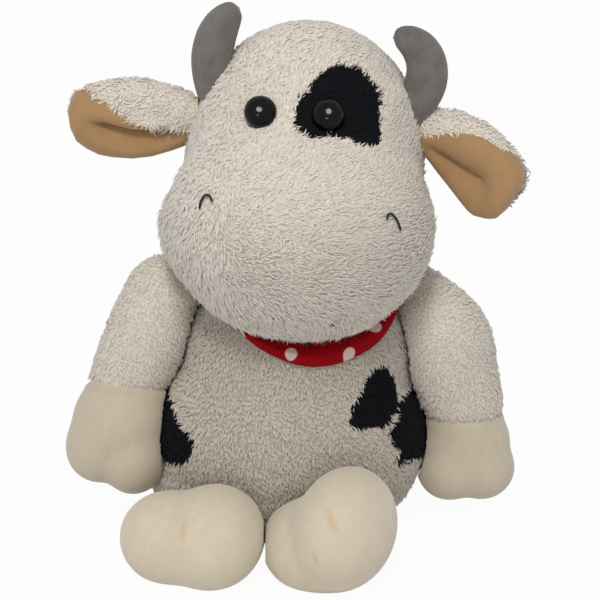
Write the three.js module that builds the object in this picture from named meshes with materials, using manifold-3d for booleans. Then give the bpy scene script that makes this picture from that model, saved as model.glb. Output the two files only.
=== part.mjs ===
// A sitting plush cow with a big soft head, sewn from looped pile and short velour over stuffing.
// Millimetres, +Z up. The cow faces -Y, so its own left side is on +X.
import * as THREE from "three";
import { mergeVertices } from "three/addons/utils/BufferGeometryUtils.js";
import Module from "manifold-3d";

const wasm = await Module();
wasm.setup();

// Fabric and clearances
const seamGap = 0.3; // between pieces that touch
const turnGap = 1.2; // round pieces that turn
const pileWall = 2.4; // looped pile with its knitted ground
const velourWall = 1.6;
const floorFlat = 0.5; // how deep the cow settles where it stands

// Torso
const bellyWidth = 122;
const bellyDepth = 94;
const bellyHeight = 96;
const bellyRise = 38; // height of the widest part
const bellyShift = -1; // the toy leans a little to its left
const chestWidth = 90;
const chestDepth = 72;
const chestHeight = 80;
const chestRise = 79;
const chestShift = 3;
const torsoSetBack = 4;
const neckWidth = 34;
const neckRise = 104;
const turningGapLength = 34; // the slit where the torso was stuffed
const turningGapWidth = 1.2;
const turningGapRise = 52;
const pelletBagWidth = 68;
const pelletBagDepth = 56;
const pelletBagHeight = 27;

// Head, measured from the point it nods about
const nodPoint = [2, 9, 110];
const headTilt = 5; // degrees towards the cow's left
const skullWidth = 99;
const skullDepth = 86;
const skullHeight = 110;
const skullRise = 52.5;
const skullForward = 4;
const muzzleWidth = 109;
const muzzleDepth = 84;
const muzzleHeight = 95;
const muzzleRise = 31.5;
const muzzleForward = 30;
const nodUp = 18; // degrees that the head can tip back

// Face. Turns are degrees from the front towards the cow's left, lifts are degrees up
const eyeDiameter = 12;
const eyeHeight = 5;
const eyeSink = 0.8; // the pile is pressed in under it
const eyeShankDiameter = 3.6;
const eyeShankLength = 6.5;
const eyeWasherDiameter = 13;
const eyeWasherThickness = 1.6;
const eyeTurn = { right: -42, left: 16 };
const eyeLift = { right: 51, left: 56 };
const threadDiameter = 1.5;
const nostrilTurn = { right: -42, left: 41 };
const nostrilLift = 4;
const nostrilRadius = 3.4;
const mouthFrom = -15;
const mouthTo = 25;
const mouthLift = -44;

// Horns
const hornSpread = 38.5;
const hornForward = 8;
const hornBuried = 8;
const hornLength = 37; // along its middle, with the buried end
const hornBaseWidth = 18;
const hornTipWidth = 10;
const hornFlattening = 0.82;
const hornLean = { right: 24, left: 36 }; // degrees outwards where it leaves the head
const hornCurl = { right: 84, left: 124 }; // degrees that it bends back in

// Ears
const earLength = 53;
const earRise = { right: 66, left: 68 };
const earSpread = 45;
const earRootForward = 5;
const earRootRadius = 6.5; // the tuck that is sewn into the head
const earLowerHeight = 17;
const earUpperHeight = 14;
const earHollowDepth = 9;
const earBackThickness = 3;
const earLiningThickness = 2.6;
const earDroop = { right: 2, left: 19 };
const earForward = { right: 0, left: 30 };
const earFlop = 12; // degrees up or down

// Arms, measured from the shoulder
const shoulderRise = 102;
const shoulderSpread = 56;
const shoulderRadius = 17;
const armSplay = { right: 19, left: 15 };
const sleeveLength = { right: 43, left: 55 };
const handLength = { right: 51, left: 43 };
const sleeveWidth = 36;
const sleeveFlattening = 0.12;
const wristWidth = 31;
const handWidth = 40;
const handDepth = 29;
const armRaise = 55; // degrees out to the side

// Legs, measured from the hip
const hipRise = 21.5;
const hipSpread = 27;
const hipSetBack = -24;
const hipRadius = 19;
const toeForward = 33;
const toeSpread = 8.5; // middle of a toe from the middle of the foot
const footLength = 54;
const footWidth = 58;
const footHeight = 48;
const legTurn = -20; // degrees, both feet towards the cow's right
const toeLifts = { right: [-3, -3], left: [-8, 6] }; // right toe, left toe
const legParting = -10; // where the two feet meet
const legLift = 18;

// Tail
const tailLength = 38;
const tailDiameter = 7;
const tailRootRadius = 7; // its sewn end is tucked into the back
const tuftLength = 24;
const tuftDiameter = 14;
const tailRootLift = -38; // degrees, seen from the middle of the torso
const tailSwing = 40;

// Neckerchief. Drops are degrees down from upright
const kerchiefThickness = 1.4;
const kerchiefLift = 1.1; // it lies on the tips of the pile
const kerchiefTop = 30;
const kerchiefSide = 40;
const kerchiefPoint = 60;
const kerchiefTwist = 22; // degrees, its point is off the middle
const kerchiefSpread = 56;
const knotWidth = 16;
const knotHeight = 11;
const kerchiefTailLength = 22;
const kerchiefTailWidth = 11;

// Facets
const fineColumns = 20;
const coarseColumns = 10;
const ballDetail = 2;
const ballFlatness = 0.968; // how near the middle of a ball's flat face comes to its radius

const radians = THREE.MathUtils.degToRad;
const X = new THREE.Vector3(1, 0, 0);
const Y = new THREE.Vector3(0, 1, 0);
const Z = new THREE.Vector3(0, 0, 1);
const vector = (x, y, z) => new THREE.Vector3(x, y, z);
const origin = vector(0, 0, 0);

// Materials
const cloth = (name, color, roughness = 1) =>
  new THREE.MeshStandardMaterial({ name, color, roughness, metalness: 0 });
const creamPile = cloth("cream_pile", 0xded5c7);
const blackPile = cloth("black_pile", 0x17181b);
const creamVelour = cloth("cream_velour", 0xe2d6bd);
const tanVelour = cloth("tan_velour", 0xb88f5f);
const greySuede = cloth("grey_suede", 0x6f6a65);
const redCotton = cloth("red_cotton", 0xb3101f, 0.9);
const blackThread = cloth("black_thread", 0x1a1b1d, 0.7);
const stuffing = cloth("stuffing", 0xf4f3ef);
const pelletCloth = cloth("pellet_cloth", 0xcfcabf);
const eyePlastic = cloth("eye_plastic", 0x060606, 0.08);
const washerPlastic = cloth("washer_plastic", 0xf2f2f0, 0.4);

// A closed geometry as a solid that can be cut and joined
function toSolid(geometry) {
  const bare = geometry.clone();
  bare.deleteAttribute("normal");
  bare.deleteAttribute("uv");
  const merged = mergeVertices(bare, 1e-4);
  return new wasm.Manifold(
    new wasm.Mesh({
      numProp: 3,
      vertProperties: new Float32Array(merged.attributes.position.array),
      triVerts: new Uint32Array(merged.index.array),
    }),
  );
}

function toMesh(name, solid, material) {
  const { vertProperties, triVerts, numProp } = solid.getMesh();
  const geometry = new THREE.BufferGeometry();
  const points = new Float32Array((vertProperties.length / numProp) * 3);
  for (let i = 0; i < points.length / 3; i++) {
    points.set(vertProperties.subarray(i * numProp, i * numProp + 3), i * 3);
  }
  geometry.setAttribute("position", new THREE.BufferAttribute(points, 3));
  geometry.setIndex(new THREE.BufferAttribute(new Uint32Array(triVerts), 1));
  geometry.computeVertexNormals();
  const mesh = new THREE.Mesh(geometry, material);
  mesh.name = name;
  return mesh;
}

const ellipsoid = (centre, width, depth, height) => ({
  centre,
  radii: vector(width / 2, depth / 2, height / 2),
});

// How far a ray from a point goes before it leaves a lobe. Past the lobe's rim it falls away quickly.
function reach(lobe, from, direction) {
  const start = from.clone().sub(lobe.centre).divide(lobe.radii);
  const step = direction.clone().divide(lobe.radii);
  const square = step.lengthSq();
  const along = start.dot(step);
  const within = along * along - square * (start.lengthSq() - 1);
  const side = within < 0 ? -3 * Math.sqrt(-within) : Math.sqrt(within);
  return (side - along) / square;
}

function softMax(values, blend) {
  const top = Math.max(...values);
  const sum = values.reduce((total, value) => total + Math.exp((value - top) / blend), 0);
  return top + blend * Math.log(sum);
}

// A direction from a turn round from the front, towards the cow's left, and a lift, in degrees
function towards(turn, lift) {
  const level = Math.cos(radians(lift));
  return vector(
    Math.sin(radians(turn)) * level,
    -Math.cos(radians(turn)) * level,
    Math.sin(radians(lift)),
  );
}

// A stuffed shape: lobes that swell into each other, seen from its centre. It can rest on a floor.
class StuffedForm {
  constructor({ centre, lobes, blend, floor }) {
    Object.assign(this, { centre, lobes, blend, floor });
  }

  radius(direction) {
    const swell = softMax(
      this.lobes.map((lobe) => reach(lobe, this.centre, direction)),
      this.blend,
    );
    if (this.floor === undefined || direction.z > -1e-3) return swell;
    const toFloor = (this.floor - this.centre.z) / direction.z;
    return -softMax([-swell, -toFloor], 1);
  }

  surface(direction, lift = 0) {
    return direction.clone().multiplyScalar(this.radius(direction) + lift).add(this.centre);
  }

  normal(direction) {
    const side = Math.abs(direction.z) < 0.9 ? Z : X;
    const across = side.clone().cross(direction).normalize();
    const up = direction.clone().cross(across);
    const step = 0.02;
    const near = (along, sign) =>
      this.surface(direction.clone().addScaledVector(along, sign * step).normalize());
    const slopeAcross = near(across, 1).sub(near(across, -1));
    const slopeUp = near(up, 1).sub(near(up, -1));
    return slopeAcross.cross(slopeUp).normalize();
  }

  geometry(columns, inset = 0) {
    const rows = Math.round(columns * 0.62);
    const made = new THREE.SphereGeometry(1, columns, rows).rotateX(Math.PI / 2);
    const place = made.attributes.position;
    const direction = new THREE.Vector3();
    for (let i = 0; i < place.count; i++) {
      direction.fromBufferAttribute(place, i).normalize();
      place.setXYZ(i, ...this.surface(direction, -inset));
    }
    return made;
  }

  solid(columns, inset = 0) {
    return toSolid(this.geometry(columns, inset));
  }

  holds(place) {
    const offset = place.clone().sub(this.centre);
    const distance = offset.length();
    return distance < this.radius(offset.divideScalar(distance));
  }
}

// The space that a form fills as it turns about an axis through a pivot, seen from its own centre
class SweptForm extends StuffedForm {
  constructor(form, pivot, axis, lowest, highest) {
    super(form);
    const count = Math.ceil((highest - lowest) / 6) + 1;
    this.turns = Array.from({ length: count }, (_, i) =>
      radians(lowest + ((highest - lowest) * i) / (count - 1)),
    );
    Object.assign(this, { form, pivot, axis });
  }

  radius(direction) {
    return Math.max(...this.turns.map((turn) => this.exit(direction, turn)));
  }

  exit(direction, turn) {
    const holds = (distance) =>
      this.form.holds(
        direction
          .clone()
          .multiplyScalar(distance)
          .add(this.centre)
          .sub(this.pivot)
          .applyAxisAngle(this.axis, -turn)
          .add(this.pivot),
      );
    let near = 160;
    while (near > 0 && !holds(near)) near -= 5;
    let far = near + 5;
    for (let i = 0; i < 7; i++) {
      const middle = (near + far) / 2;
      if (holds(middle)) near = middle;
      else far = middle;
    }
    return near;
  }
}

// A closed body through rings of points, each ring the same way round. An end is filled from its
// middle, or across from one side to the other where the ring folds back on itself
function loft(rings, foldedBack = false) {
  const count = rings[0].length;
  const points = rings.flat();
  const faces = [];
  for (let r = 0; r + 1 < rings.length; r++) {
    for (let i = 0; i < count; i++) {
      const next = (i + 1) % count;
      const [a, b] = [r * count + i, r * count + next];
      faces.push(a, b, b + count, a, b + count, a + count);
    }
  }
  const fill = (first, turned) => {
    const add = (a, b, c) => faces.push(...(turned ? [a, c, b] : [a, b, c]));
    if (foldedBack) {
      for (let i = 0; i < count / 2 - 1; i++) {
        const [a, b] = [first + i, first + count - 1 - i];
        add(a, a + 1, b - 1);
        add(a, b - 1, b);
      }
      return;
    }
    const middle = points.length;
    const centre = vector(0, 0, 0);
    for (let i = 0; i < count; i++) centre.addScaledVector(points[first + i], 1 / count);
    points.push(centre);
    for (let i = 0; i < count; i++) add(middle, first + i, first + ((i + 1) % count));
  };
  fill(0, true);
  fill((rings.length - 1) * count, false);
  return indexed(points, faces);
}

function indexed(points, faces) {
  const geometry = new THREE.BufferGeometry().setFromPoints(points);
  geometry.setIndex(faces);
  return geometry;
}

// Rings of ovals along a curve of stations, each with a place, a heading and two widths
function tapered(stations, columns) {
  return loft(
    stations.map(({ at, heading, across, width, depth }) => {
      const side = across.clone().normalize();
      const front = heading.clone().normalize().cross(side);
      return Array.from({ length: columns }, (_, i) => {
        const turn = (i / columns) * 2 * Math.PI;
        return at
          .clone()
          .addScaledVector(side, (Math.cos(turn) * width) / 2)
          .addScaledVector(front, (Math.sin(turn) * depth) / 2);
      });
    }),
  );
}

// Widths read off a smooth curve through a few given ones
function profile(widths) {
  const curve = new THREE.CatmullRomCurve3(widths.map(([t, w]) => vector(t, w, 0)), false, "centripetal");
  const read = curve.getPoints(200);
  return (t) => {
    const i = read.findIndex((p) => p.x >= t);
    if (i <= 0) return read[Math.max(i, 0)].y;
    const [a, b] = [read[i - 1], read[i]];
    return a.y + ((b.y - a.y) * (t - a.x)) / Math.max(b.x - a.x, 1e-9);
  };
}

const ball = (centre, radius) =>
  toSolid(new THREE.IcosahedronGeometry(radius, ballDetail).translate(...centre));
// A hollow whose flat faces all stay clear of a ball of this radius
const ballRoom = (centre, radius) => ball(centre, (radius + seamGap) / ballFlatness);

// A wedge from a form's centre out through a smooth outline of [across, up] points in millimetres
// about a middle, which is a turn and a lift
function outlineWedge(form, { middle, outline }, inner, outer, margin = 0) {
  const centre = towards(...middle);
  const across = Z.clone().cross(centre).normalize();
  const up = centre.clone().cross(across);
  const scale = form.radius(centre);
  const smooth = new THREE.CatmullRomCurve3(outline.map(([a, b]) => vector(a, b, 0)), true);
  const count = outline.length * 2;
  const flat = smooth.getSpacedPoints(count).slice(0, count);
  const balance = flat.reduce((sum, p) => sum.addScaledVector(p, 1 / count), vector(0, 0, 0));
  const ring = (lift) =>
    flat.map((p) => {
      const point = p.clone().sub(balance);
      point.setLength(point.length() + margin).add(balance);
      const direction = centre.clone().multiplyScalar(scale);
      direction.addScaledVector(across, point.x).addScaledVector(up, point.y).normalize();
      return form.surface(direction, lift);
    });
  return toSolid(outward(loft([ring(inner), ring(outer)])));
}

// The same geometry with its faces the right way round
function outward(geometry) {
  if (toSolid(geometry).volume() > 0) return geometry;
  const { array } = geometry.index;
  for (let i = 0; i < array.length; i += 3) [array[i + 1], array[i + 2]] = [array[i + 2], array[i + 1]];
  return geometry;
}

function cylinderBetween(start, end, radius, columns = 12) {
  const heading = end.clone().sub(start);
  const across = (Math.abs(heading.x) < Math.abs(heading.y) ? X : Y).clone().cross(heading);
  const station = (at) => ({ at, heading, across, width: 2 * radius, depth: 2 * radius });
  return toSolid(outward(tapered([station(start), station(end)], columns)));
}

const box = (width, depth, height, x, y, z) =>
  toSolid(new THREE.BoxGeometry(width, depth, height).translate(x, y, z));
const slab = (lowest, highest) => box(240, 240, highest - lowest, 0, 0, (lowest + highest) / 2);
const largest = (solid) => solid.decompose().reduce((a, b) => (a.volume() > b.volume() ? a : b));
const flattenedBall = (width, depth, height, columns) =>
  new THREE.SphereGeometry(0.5, columns, Math.round(columns * 0.7)).scale(width, depth, height);

// Forms

const neck = vector(...nodPoint);
const torso = new StuffedForm({
  centre: vector((bellyShift + chestShift) / 2, torsoSetBack, (bellyRise + chestRise) / 2),
  lobes: [
    ellipsoid(vector(bellyShift, torsoSetBack, bellyRise), bellyWidth, bellyDepth, bellyHeight),
    ellipsoid(vector(chestShift, torsoSetBack, chestRise), chestWidth, chestDepth, chestHeight),
    ellipsoid(vector(neck.x, neck.y, neckRise), neckWidth, neckWidth, neckWidth),
  ],
  blend: 4,
  floor: -floorFlat,
});

// The head is drawn about the neck, before it is tilted
const skull = vector(0, -skullForward, skullRise);
const muzzle = vector(0, -muzzleForward, muzzleRise);
const head = new StuffedForm({
  centre: skull.clone().lerp(muzzle, 0.5),
  lobes: [
    ellipsoid(skull, skullWidth, skullDepth, skullHeight),
    ellipsoid(muzzle, muzzleWidth, muzzleDepth, muzzleHeight),
  ],
  blend: 3,
});
const headGroup = new THREE.Group();
headGroup.position.copy(neck);
headGroup.rotation.y = radians(headTilt);
headGroup.updateMatrixWorld(true);
const intoHead = headGroup.matrixWorld.clone().invert();

const sides = { right: -1, left: 1 };
const shoulderAt = (side) => vector(chestShift + side * shoulderSpread, torsoSetBack, shoulderRise);
const hipAt = (side) => vector(bellyShift + side * hipSpread, hipSetBack, hipRise);
const earRootAt = (name) => vector(sides[name] * earSpread, -earRootForward, earRise[name]);
const tailRoot = torso.surface(towards(180, tailRootLift), -tailDiameter / 4);

// Torso: pile cover, stuffing, pellet bag and the let-in black patches

const torsoPatches = {
  left_chest_patch: {
    middle: [50, 9],
    outline: [[1, 14], [9, 11], [12, 3], [8, -7], [1, -10], [-6, -10], [-13, -8], [-11, -1], [-6, 6]],
  },
  left_flank_patch: {
    middle: [70, -8],
    outline: [[2, 13], [-6, 7], [-12, 1], [-12, -6], [-9, -12], [0, -14], [9, -10], [13, -1], [10, 9]],
  },
  right_flank_patch: {
    middle: [-66, -5],
    outline: [[15, -4], [9, 1], [-1, 9], [-11, 11], [-21, 12], [-25, 2], [-20, -10], [-8, -15], [6, -16], [14, -12]],
  },
};
const wedges = (form, patch) => ({
  inside: outlineWedge(form, patch, -2 * pileWall, 2),
  around: outlineWedge(form, patch, -2 * pileWall, 2, seamGap),
});
const limbRoots = [
  ...Object.values(sides).map((side) => ballRoom(shoulderAt(side), shoulderRadius)),
  ...Object.values(sides).map((side) => ballRoom(hipAt(side), hipRadius)),
  ballRoom(tailRoot, tailRootRadius),
].reduce((all, one) => all.add(one));
const turningGap = box(
  turningGapWidth,
  bellyDepth,
  turningGapLength,
  neck.x,
  torsoSetBack + bellyDepth / 2,
  turningGapRise,
);

// Neckerchief: a folded square round the neck, lying on the chest, knotted behind

function kerchiefBand(lift, thickness, columns) {
  const rings = Array.from({ length: columns }, (_, i) => {
    const turn = (i / columns) * 360 - 180 + kerchiefTwist;
    const front = Math.exp(-(((turn - kerchiefTwist) / kerchiefSpread) ** 2));
    const bottom = kerchiefSide + (kerchiefPoint - kerchiefSide) * front;
    const at = (share, height) =>
      torso.surface(towards(turn, 90 - kerchiefTop - (bottom - kerchiefTop) * share), height);
    const shares = [0, 0.5, 1];
    const under = shares.map((share) => at(share, lift));
    const over = shares.map((share) => at(share, lift + thickness));
    return [...under, ...over.reverse()];
  });
  const count = rings[0].length;
  const faces = [];
  for (let r = 0; r < columns; r++) {
    for (let i = 0; i < count; i++) {
      const [next, beside] = [((r + 1) % columns) * count, (i + 1) % count];
      const [a, b] = [r * count + i, r * count + beside];
      faces.push(a, b, next + beside, a, next + beside, next + i);
    }
  }
  return toSolid(outward(indexed(rings.flat(), faces)));
}

function kerchiefSolid() {
  const columns = 16;
  const knotAt = torso.surface(towards(180, 90 - (kerchiefTop + kerchiefSide) / 2), knotHeight / 3);
  const knot = flattenedBall(knotWidth, knotHeight, knotHeight, 7).translate(...knotAt);
  const tails = [-1, 1].map((side) =>
    flattenedBall(kerchiefTailWidth, 3 * kerchiefThickness, kerchiefTailLength, 5)
      .rotateX(radians(28))
      .rotateY(radians(-side * 28))
      .translate(knotAt.x + side * knotWidth * 0.4, knotAt.y + 3, knotAt.z - kerchiefTailLength / 2),
  );
  return [knot, ...tails]
    .map((geometry) => toSolid(geometry).subtract(torso.solid(fineColumns, -seamGap)))
    .reduce((all, one) => all.add(one), kerchiefBand(kerchiefLift, kerchiefThickness, columns))
    .subtract(limbRoots);
}

// Torso pieces

function torsoMeshes() {
  const shell = torso
    .solid(fineColumns)
    .subtract(torso.solid(coarseColumns, pileWall))
    .subtract(slab(-60, 0))
    .subtract(limbRoots)
    .subtract(turningGap);
  const core = torso
    .solid(coarseColumns, pileWall + seamGap)
    .subtract(slab(-60, pileWall + seamGap))
    .subtract(limbRoots);
  const pellets = (margin) =>
    toSolid(
      flattenedBall(
        pelletBagWidth + margin,
        pelletBagDepth + margin,
        pelletBagHeight + margin,
        coarseColumns,
      ).translate(bellyShift, torsoSetBack + 5, pelletBagHeight / 2 - 2),
    );
  let cover = shell;
  const meshes = [];
  for (const [name, patch] of Object.entries(torsoPatches)) {
    const { inside, around } = wedges(torso, patch);
    cover = cover.subtract(around);
    meshes.push(toMesh(name, largest(shell.intersect(inside)), blackPile));
  }
  return [
    ...meshes,
    toMesh("torso_cover", largest(cover), creamPile),
    toMesh("torso_stuffing", largest(core.subtract(pellets(2 * seamGap))), stuffing),
    toMesh("pellet_bag", largest(core.intersect(pellets(0))), pelletCloth),
    toMesh("kerchief", largest(kerchiefSolid()), redCotton),
  ];
}

// Head: pile cover, stuffing, the patch round the left eye, eyes and stitches

const eyePatch = {
  middle: [26, 59],
  outline: [
    [-2, 14], [6, 14], [12, 11], [17, 5], [18, -4], [19, -10], [15, -18],
    [4, -17], [-5, -12], [-17, -10], [-22, -3], [-20, 3], [-13, 9],
  ],
};

function eyeParts(direction) {
  const outwards = head.normal(direction);
  const seat = head.surface(direction).addScaledVector(outwards, seamGap - eyeSink);
  const along = (distance) => seat.clone().addScaledVector(outwards, distance);
  const arc = Array.from({ length: 7 }, (_, i) => {
    const rise = (i / 6) * (Math.PI / 2);
    return new THREE.Vector2((Math.cos(rise) * eyeDiameter) / 2, Math.sin(rise) * eyeHeight);
  });
  arc[6].x = 0;
  const dome = new THREE.LatheGeometry([new THREE.Vector2(0, 0), ...arc], 20)
    .applyQuaternion(new THREE.Quaternion().setFromUnitVectors(Y, outwards))
    .translate(...seat);
  const washerTop = eyeSink - pileWall - 5 * seamGap;
  const washerBottom = washerTop - eyeWasherThickness;
  const rod = (from, to, radius, columns) => cylinderBetween(along(from), along(to), radius, columns);
  const shankHole = rod(-eyeShankLength - 1, 1, eyeShankDiameter / 2 + seamGap);
  return {
    eye: toSolid(outward(dome)).add(rod(-eyeShankLength, 1, eyeShankDiameter / 2)),
    washer: rod(washerBottom, washerTop, eyeWasherDiameter / 2, 16).subtract(shankHole),
    room: rod(-eyeShankLength - seamGap, 1, eyeWasherDiameter / 2 + seamGap, 16),
    shankHole: shankHole.add(rod(-eyeSink, eyeDiameter, eyeDiameter / 2 + seamGap, 20)),
  };
}
const eyeSets = {
  right: eyeParts(towards(eyeTurn.right, eyeLift.right)),
  left: eyeParts(towards(eyeTurn.left, eyeLift.left)),
};

// A thread sewn along the head's surface through [turn, lift] points
function stitch(points) {
  const lift = threadDiameter / 4 + seamGap;
  const curve = new THREE.CatmullRomCurve3(
    points.map((point) => {
      const direction = towards(...point);
      return head.surface(direction).addScaledVector(head.normal(direction), lift);
    }),
  );
  const section = new THREE.Shape().absarc(0, 0, threadDiameter / 2, 0, 2 * Math.PI);
  return toSolid(
    new THREE.ExtrudeGeometry(section, { steps: 8, extrudePath: curve, curveSegments: 4 }),
  ).subtract(head.solid(fineColumns, -seamGap));
}

function nostril(name) {
  const middle = nostrilTurn[name];
  const degrees = THREE.MathUtils.radToDeg(nostrilRadius / head.radius(towards(middle, nostrilLift)));
  const arc = Array.from({ length: 6 }, (_, i) => {
    const angle = radians(200 - 38 * i);
    return [middle - sides[name] * Math.cos(angle) * degrees, nostrilLift + Math.sin(angle) * degrees];
  });
  return stitch(arc);
}

const mouth = () =>
  stitch(
    [-1, -0.5, 0, 0.5, 1].map((share) => [
      (mouthFrom + mouthTo) / 2 + (share * (mouthTo - mouthFrom)) / 2,
      mouthLift + 3 * share * share,
    ]),
  );

// A horn leaves the head leaning out and curls back in
function horn(name) {
  const side = sides[name];
  const width = profile([
    [0, hornBaseWidth],
    [0.4, hornBaseWidth],
    [0.75, hornBaseWidth * 0.84],
    [0.93, hornTipWidth],
    [1, hornTipWidth * 0.45],
  ]);
  const steps = 9;
  const step = hornLength / steps;
  const lean = (share) => radians(side * (hornLean[name] - hornCurl[name] * share ** 1.3));
  const from = towards(90 * side, 0).multiplyScalar(hornSpread);
  const root = surfaceAbove(vector(from.x, -hornForward, skull.z));
  const at = root.addScaledVector(vector(Math.sin(lean(0)), 0, Math.cos(lean(0))), -hornBuried);
  const stations = Array.from({ length: steps + 1 }, (_, i) => {
    const share = i / steps;
    const heading = vector(Math.sin(lean(share)), 0, Math.cos(lean(share)));
    const place = at.clone();
    at.addScaledVector(heading, step);
    return {
      at: place,
      heading,
      across: Y.clone().cross(heading),
      width: width(share),
      depth: width(share) * hornFlattening,
    };
  });
  return toSolid(outward(tapered(stations, 12))).subtract(head.solid(fineColumns, -seamGap));
}

// The point of the head's surface straight above one inside it
function surfaceAbove(inside) {
  const place = inside.clone();
  while (head.holds(place)) place.z += 0.25;
  return place;
}

// Ears: a padded leaf rolled forward along its upper edge, pile outside and velour in the hollow

const earSize = profile([[0, 0.5], [0.2, 0.78], [0.5, 1], [0.75, 0.95], [0.92, 0.68], [1, 0.3]]);
const earShares = [0, 0.22, 0.5, 0.8, 1];

// The section starts at the lower edge, goes up the back and over, and ends where the roll ends
function earSection(share, { from, to, count }, near, far) {
  const size = earSize(share);
  const edge = (i, depth) => {
    const angle = radians(from + ((to(share) - from) * i) / (count - 1));
    const height = Math.sin(angle) < 0 ? earLowerHeight : earUpperHeight;
    return vector(
      earLength * share,
      Math.cos(angle) * (earHollowDepth * size - depth),
      Math.sin(angle) * (height * size - depth),
    );
  };
  const order = Array.from({ length: count }, (_, i) => i);
  return [...order.map((i) => edge(i, near)), ...order.reverse().map((i) => edge(i, far))];
}

function earPiece(side, span, near, far) {
  const rings = earShares.map((share) => {
    const size = earSize(share);
    return earSection(share, span, near * size, far * size).map((p) => vector(side * p.x, p.y, p.z));
  });
  return toSolid(outward(loft(rings, true)));
}

function ear(name) {
  const side = sides[name];
  const group = new THREE.Group();
  const root = earRootAt(name);
  group.position.copy(root);
  group.rotation.set(0, side * radians(earDroop[name]), -side * radians(earForward[name]));
  group.updateMatrixWorld(true);
  const swept = new SweptForm(head, root, Y, -earFlop, earFlop)
    .geometry(fineColumns, -turnGap)
    .applyMatrix4(group.matrixWorld.clone().invert());
  const room = toSolid(swept);
  const rollEnd = (share) => 200 - 95 * share ** 1.4;
  const span = { from: -85, to: rollEnd, count: 7 };
  const back = earPiece(side, span, -earBackThickness - seamGap, -seamGap);
  const lining = earPiece(side, span, earLiningThickness, 0);
  group.add(
    toMesh(`${name}_ear_back`, largest(back.subtract(room).subtract(ballRoom(origin, earRootRadius))), creamPile),
    toMesh(`${name}_ear_lining`, largest(lining.subtract(room).add(ball(origin, earRootRadius))), tanVelour),
  );
  return group;
}

function headMeshes() {
  const neckRoom = new SweptForm(torso, neck, X.clone().negate(), -nodUp, 0)
    .geometry(fineColumns, -turnGap - kerchiefLift - kerchiefThickness)
    .applyMatrix4(intoHead);
  const room = Object.keys(sides).reduce(
    (all, name) => all.add(ballRoom(earRootAt(name), earRootRadius)),
    toSolid(neckRoom),
  );
  const shell = head.solid(fineColumns).subtract(head.solid(coarseColumns, pileWall)).subtract(room);
  const holed = (solid) => Object.values(eyeSets).reduce((rest, set) => rest.subtract(set.shankHole), solid);
  const { inside, around } = wedges(head, eyePatch);
  let core = head.solid(coarseColumns, pileWall + seamGap).subtract(room);
  for (const set of Object.values(eyeSets)) core = core.subtract(set.room);
  const meshes = [
    toMesh("head_cover", largest(holed(shell.subtract(around))), creamPile),
    toMesh("eye_patch", largest(holed(shell.intersect(inside))), blackPile),
    toMesh("head_stuffing", largest(core), stuffing),
    toMesh("mouth_stitch", largest(mouth()), blackThread),
  ];
  for (const name of Object.keys(sides)) {
    meshes.push(
      toMesh(`${name}_eye`, eyeSets[name].eye, eyePlastic),
      toMesh(`${name}_eye_washer`, eyeSets[name].washer, washerPlastic),
      toMesh(`${name}_nostril_stitch`, largest(nostril(name)), blackThread),
      toMesh(`${name}_horn`, largest(horn(name)), greySuede),
    );
  }
  return meshes;
}

// Arms: a pile sleeve and a velour hand over one stuffed core, turning at the shoulder

function sleeveTube(length, inset, columns) {
  const width = profile([[0, 2 * shoulderRadius], [0.4, sleeveWidth], [0.7, sleeveWidth], [1.1, wristWidth]]);
  const steps = 4;
  const stations = Array.from({ length: steps + 1 }, (_, i) => {
    const share = (1.08 * i) / steps;
    const full = width(share);
    return {
      at: vector(0, 0, -length * share),
      heading: vector(0, 0, -1),
      across: X.clone(),
      width: full - 2 * inset,
      depth: full * (1 - sleeveFlattening * share) - 2 * inset,
    };
  });
  return toSolid(outward(tapered(stations, columns)));
}

function handForm(wrist, length) {
  const toe = (side) =>
    ellipsoid(
      vector(side * handWidth * 0.16, 0, wrist - length * (0.62 - side * 0.01)),
      handWidth * 0.68,
      handDepth * 0.96,
      length * 0.74,
    );
  return new StuffedForm({
    centre: vector(0, 0, wrist - length * 0.45),
    lobes: [
      ellipsoid(vector(0, 0, wrist - length * 0.22), wristWidth * 1.06, handDepth, length),
      toe(-1),
      toe(1),
    ],
    blend: 1.8,
  });
}

function arm(name) {
  const side = sides[name];
  const group = new THREE.Group();
  const shoulder = shoulderAt(side);
  group.position.copy(shoulder);
  group.rotation.y = -side * radians(armSplay[name]);
  group.updateMatrixWorld(true);
  const swept = new SweptForm(torso, shoulder, Y.clone().multiplyScalar(-side), -armRaise, 0)
    .geometry(fineColumns, -turnGap)
    .applyMatrix4(group.matrixWorld.clone().invert());
  const room = toSolid(swept);
  const wrist = -sleeveLength[name];
  const tube = (inset, columns) => sleeveTube(sleeveLength[name], inset, columns);
  const root = (inset) => ball(origin, shoulderRadius - inset);
  const sleeve = (inset, columns) => tube(inset, columns).subtract(room).add(root(inset));
  const hand = handForm(wrist, handLength[name]);
  const cover = sleeve(0, 12)
    .subtract(slab(wrist - 80, wrist + seamGap / 2))
    .subtract(tube(pileWall, 8).add(root(pileWall)));
  const mitt = hand
    .solid(14)
    .subtract(room)
    .subtract(slab(wrist - seamGap / 2, wrist + 80))
    .subtract(hand.solid(10, velourWall));
  const join = slab(wrist - 3, wrist + 4).intersect(sleeve(2 * pileWall, 8));
  const core = sleeve(pileWall + seamGap, 8)
    .subtract(slab(wrist - 80, wrist + 1))
    .add(hand.solid(10, velourWall + seamGap).subtract(room).subtract(slab(wrist - 1, wrist + 80)))
    .add(join);
  group.add(
    toMesh(`${name}_sleeve`, largest(cover), creamPile),
    toMesh(`${name}_hand`, largest(mitt), creamVelour),
    toMesh(`${name}_arm_stuffing`, largest(core), stuffing),
  );
  return group;
}

// Legs: short velour feet with two toes, lifting at the hip

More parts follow.
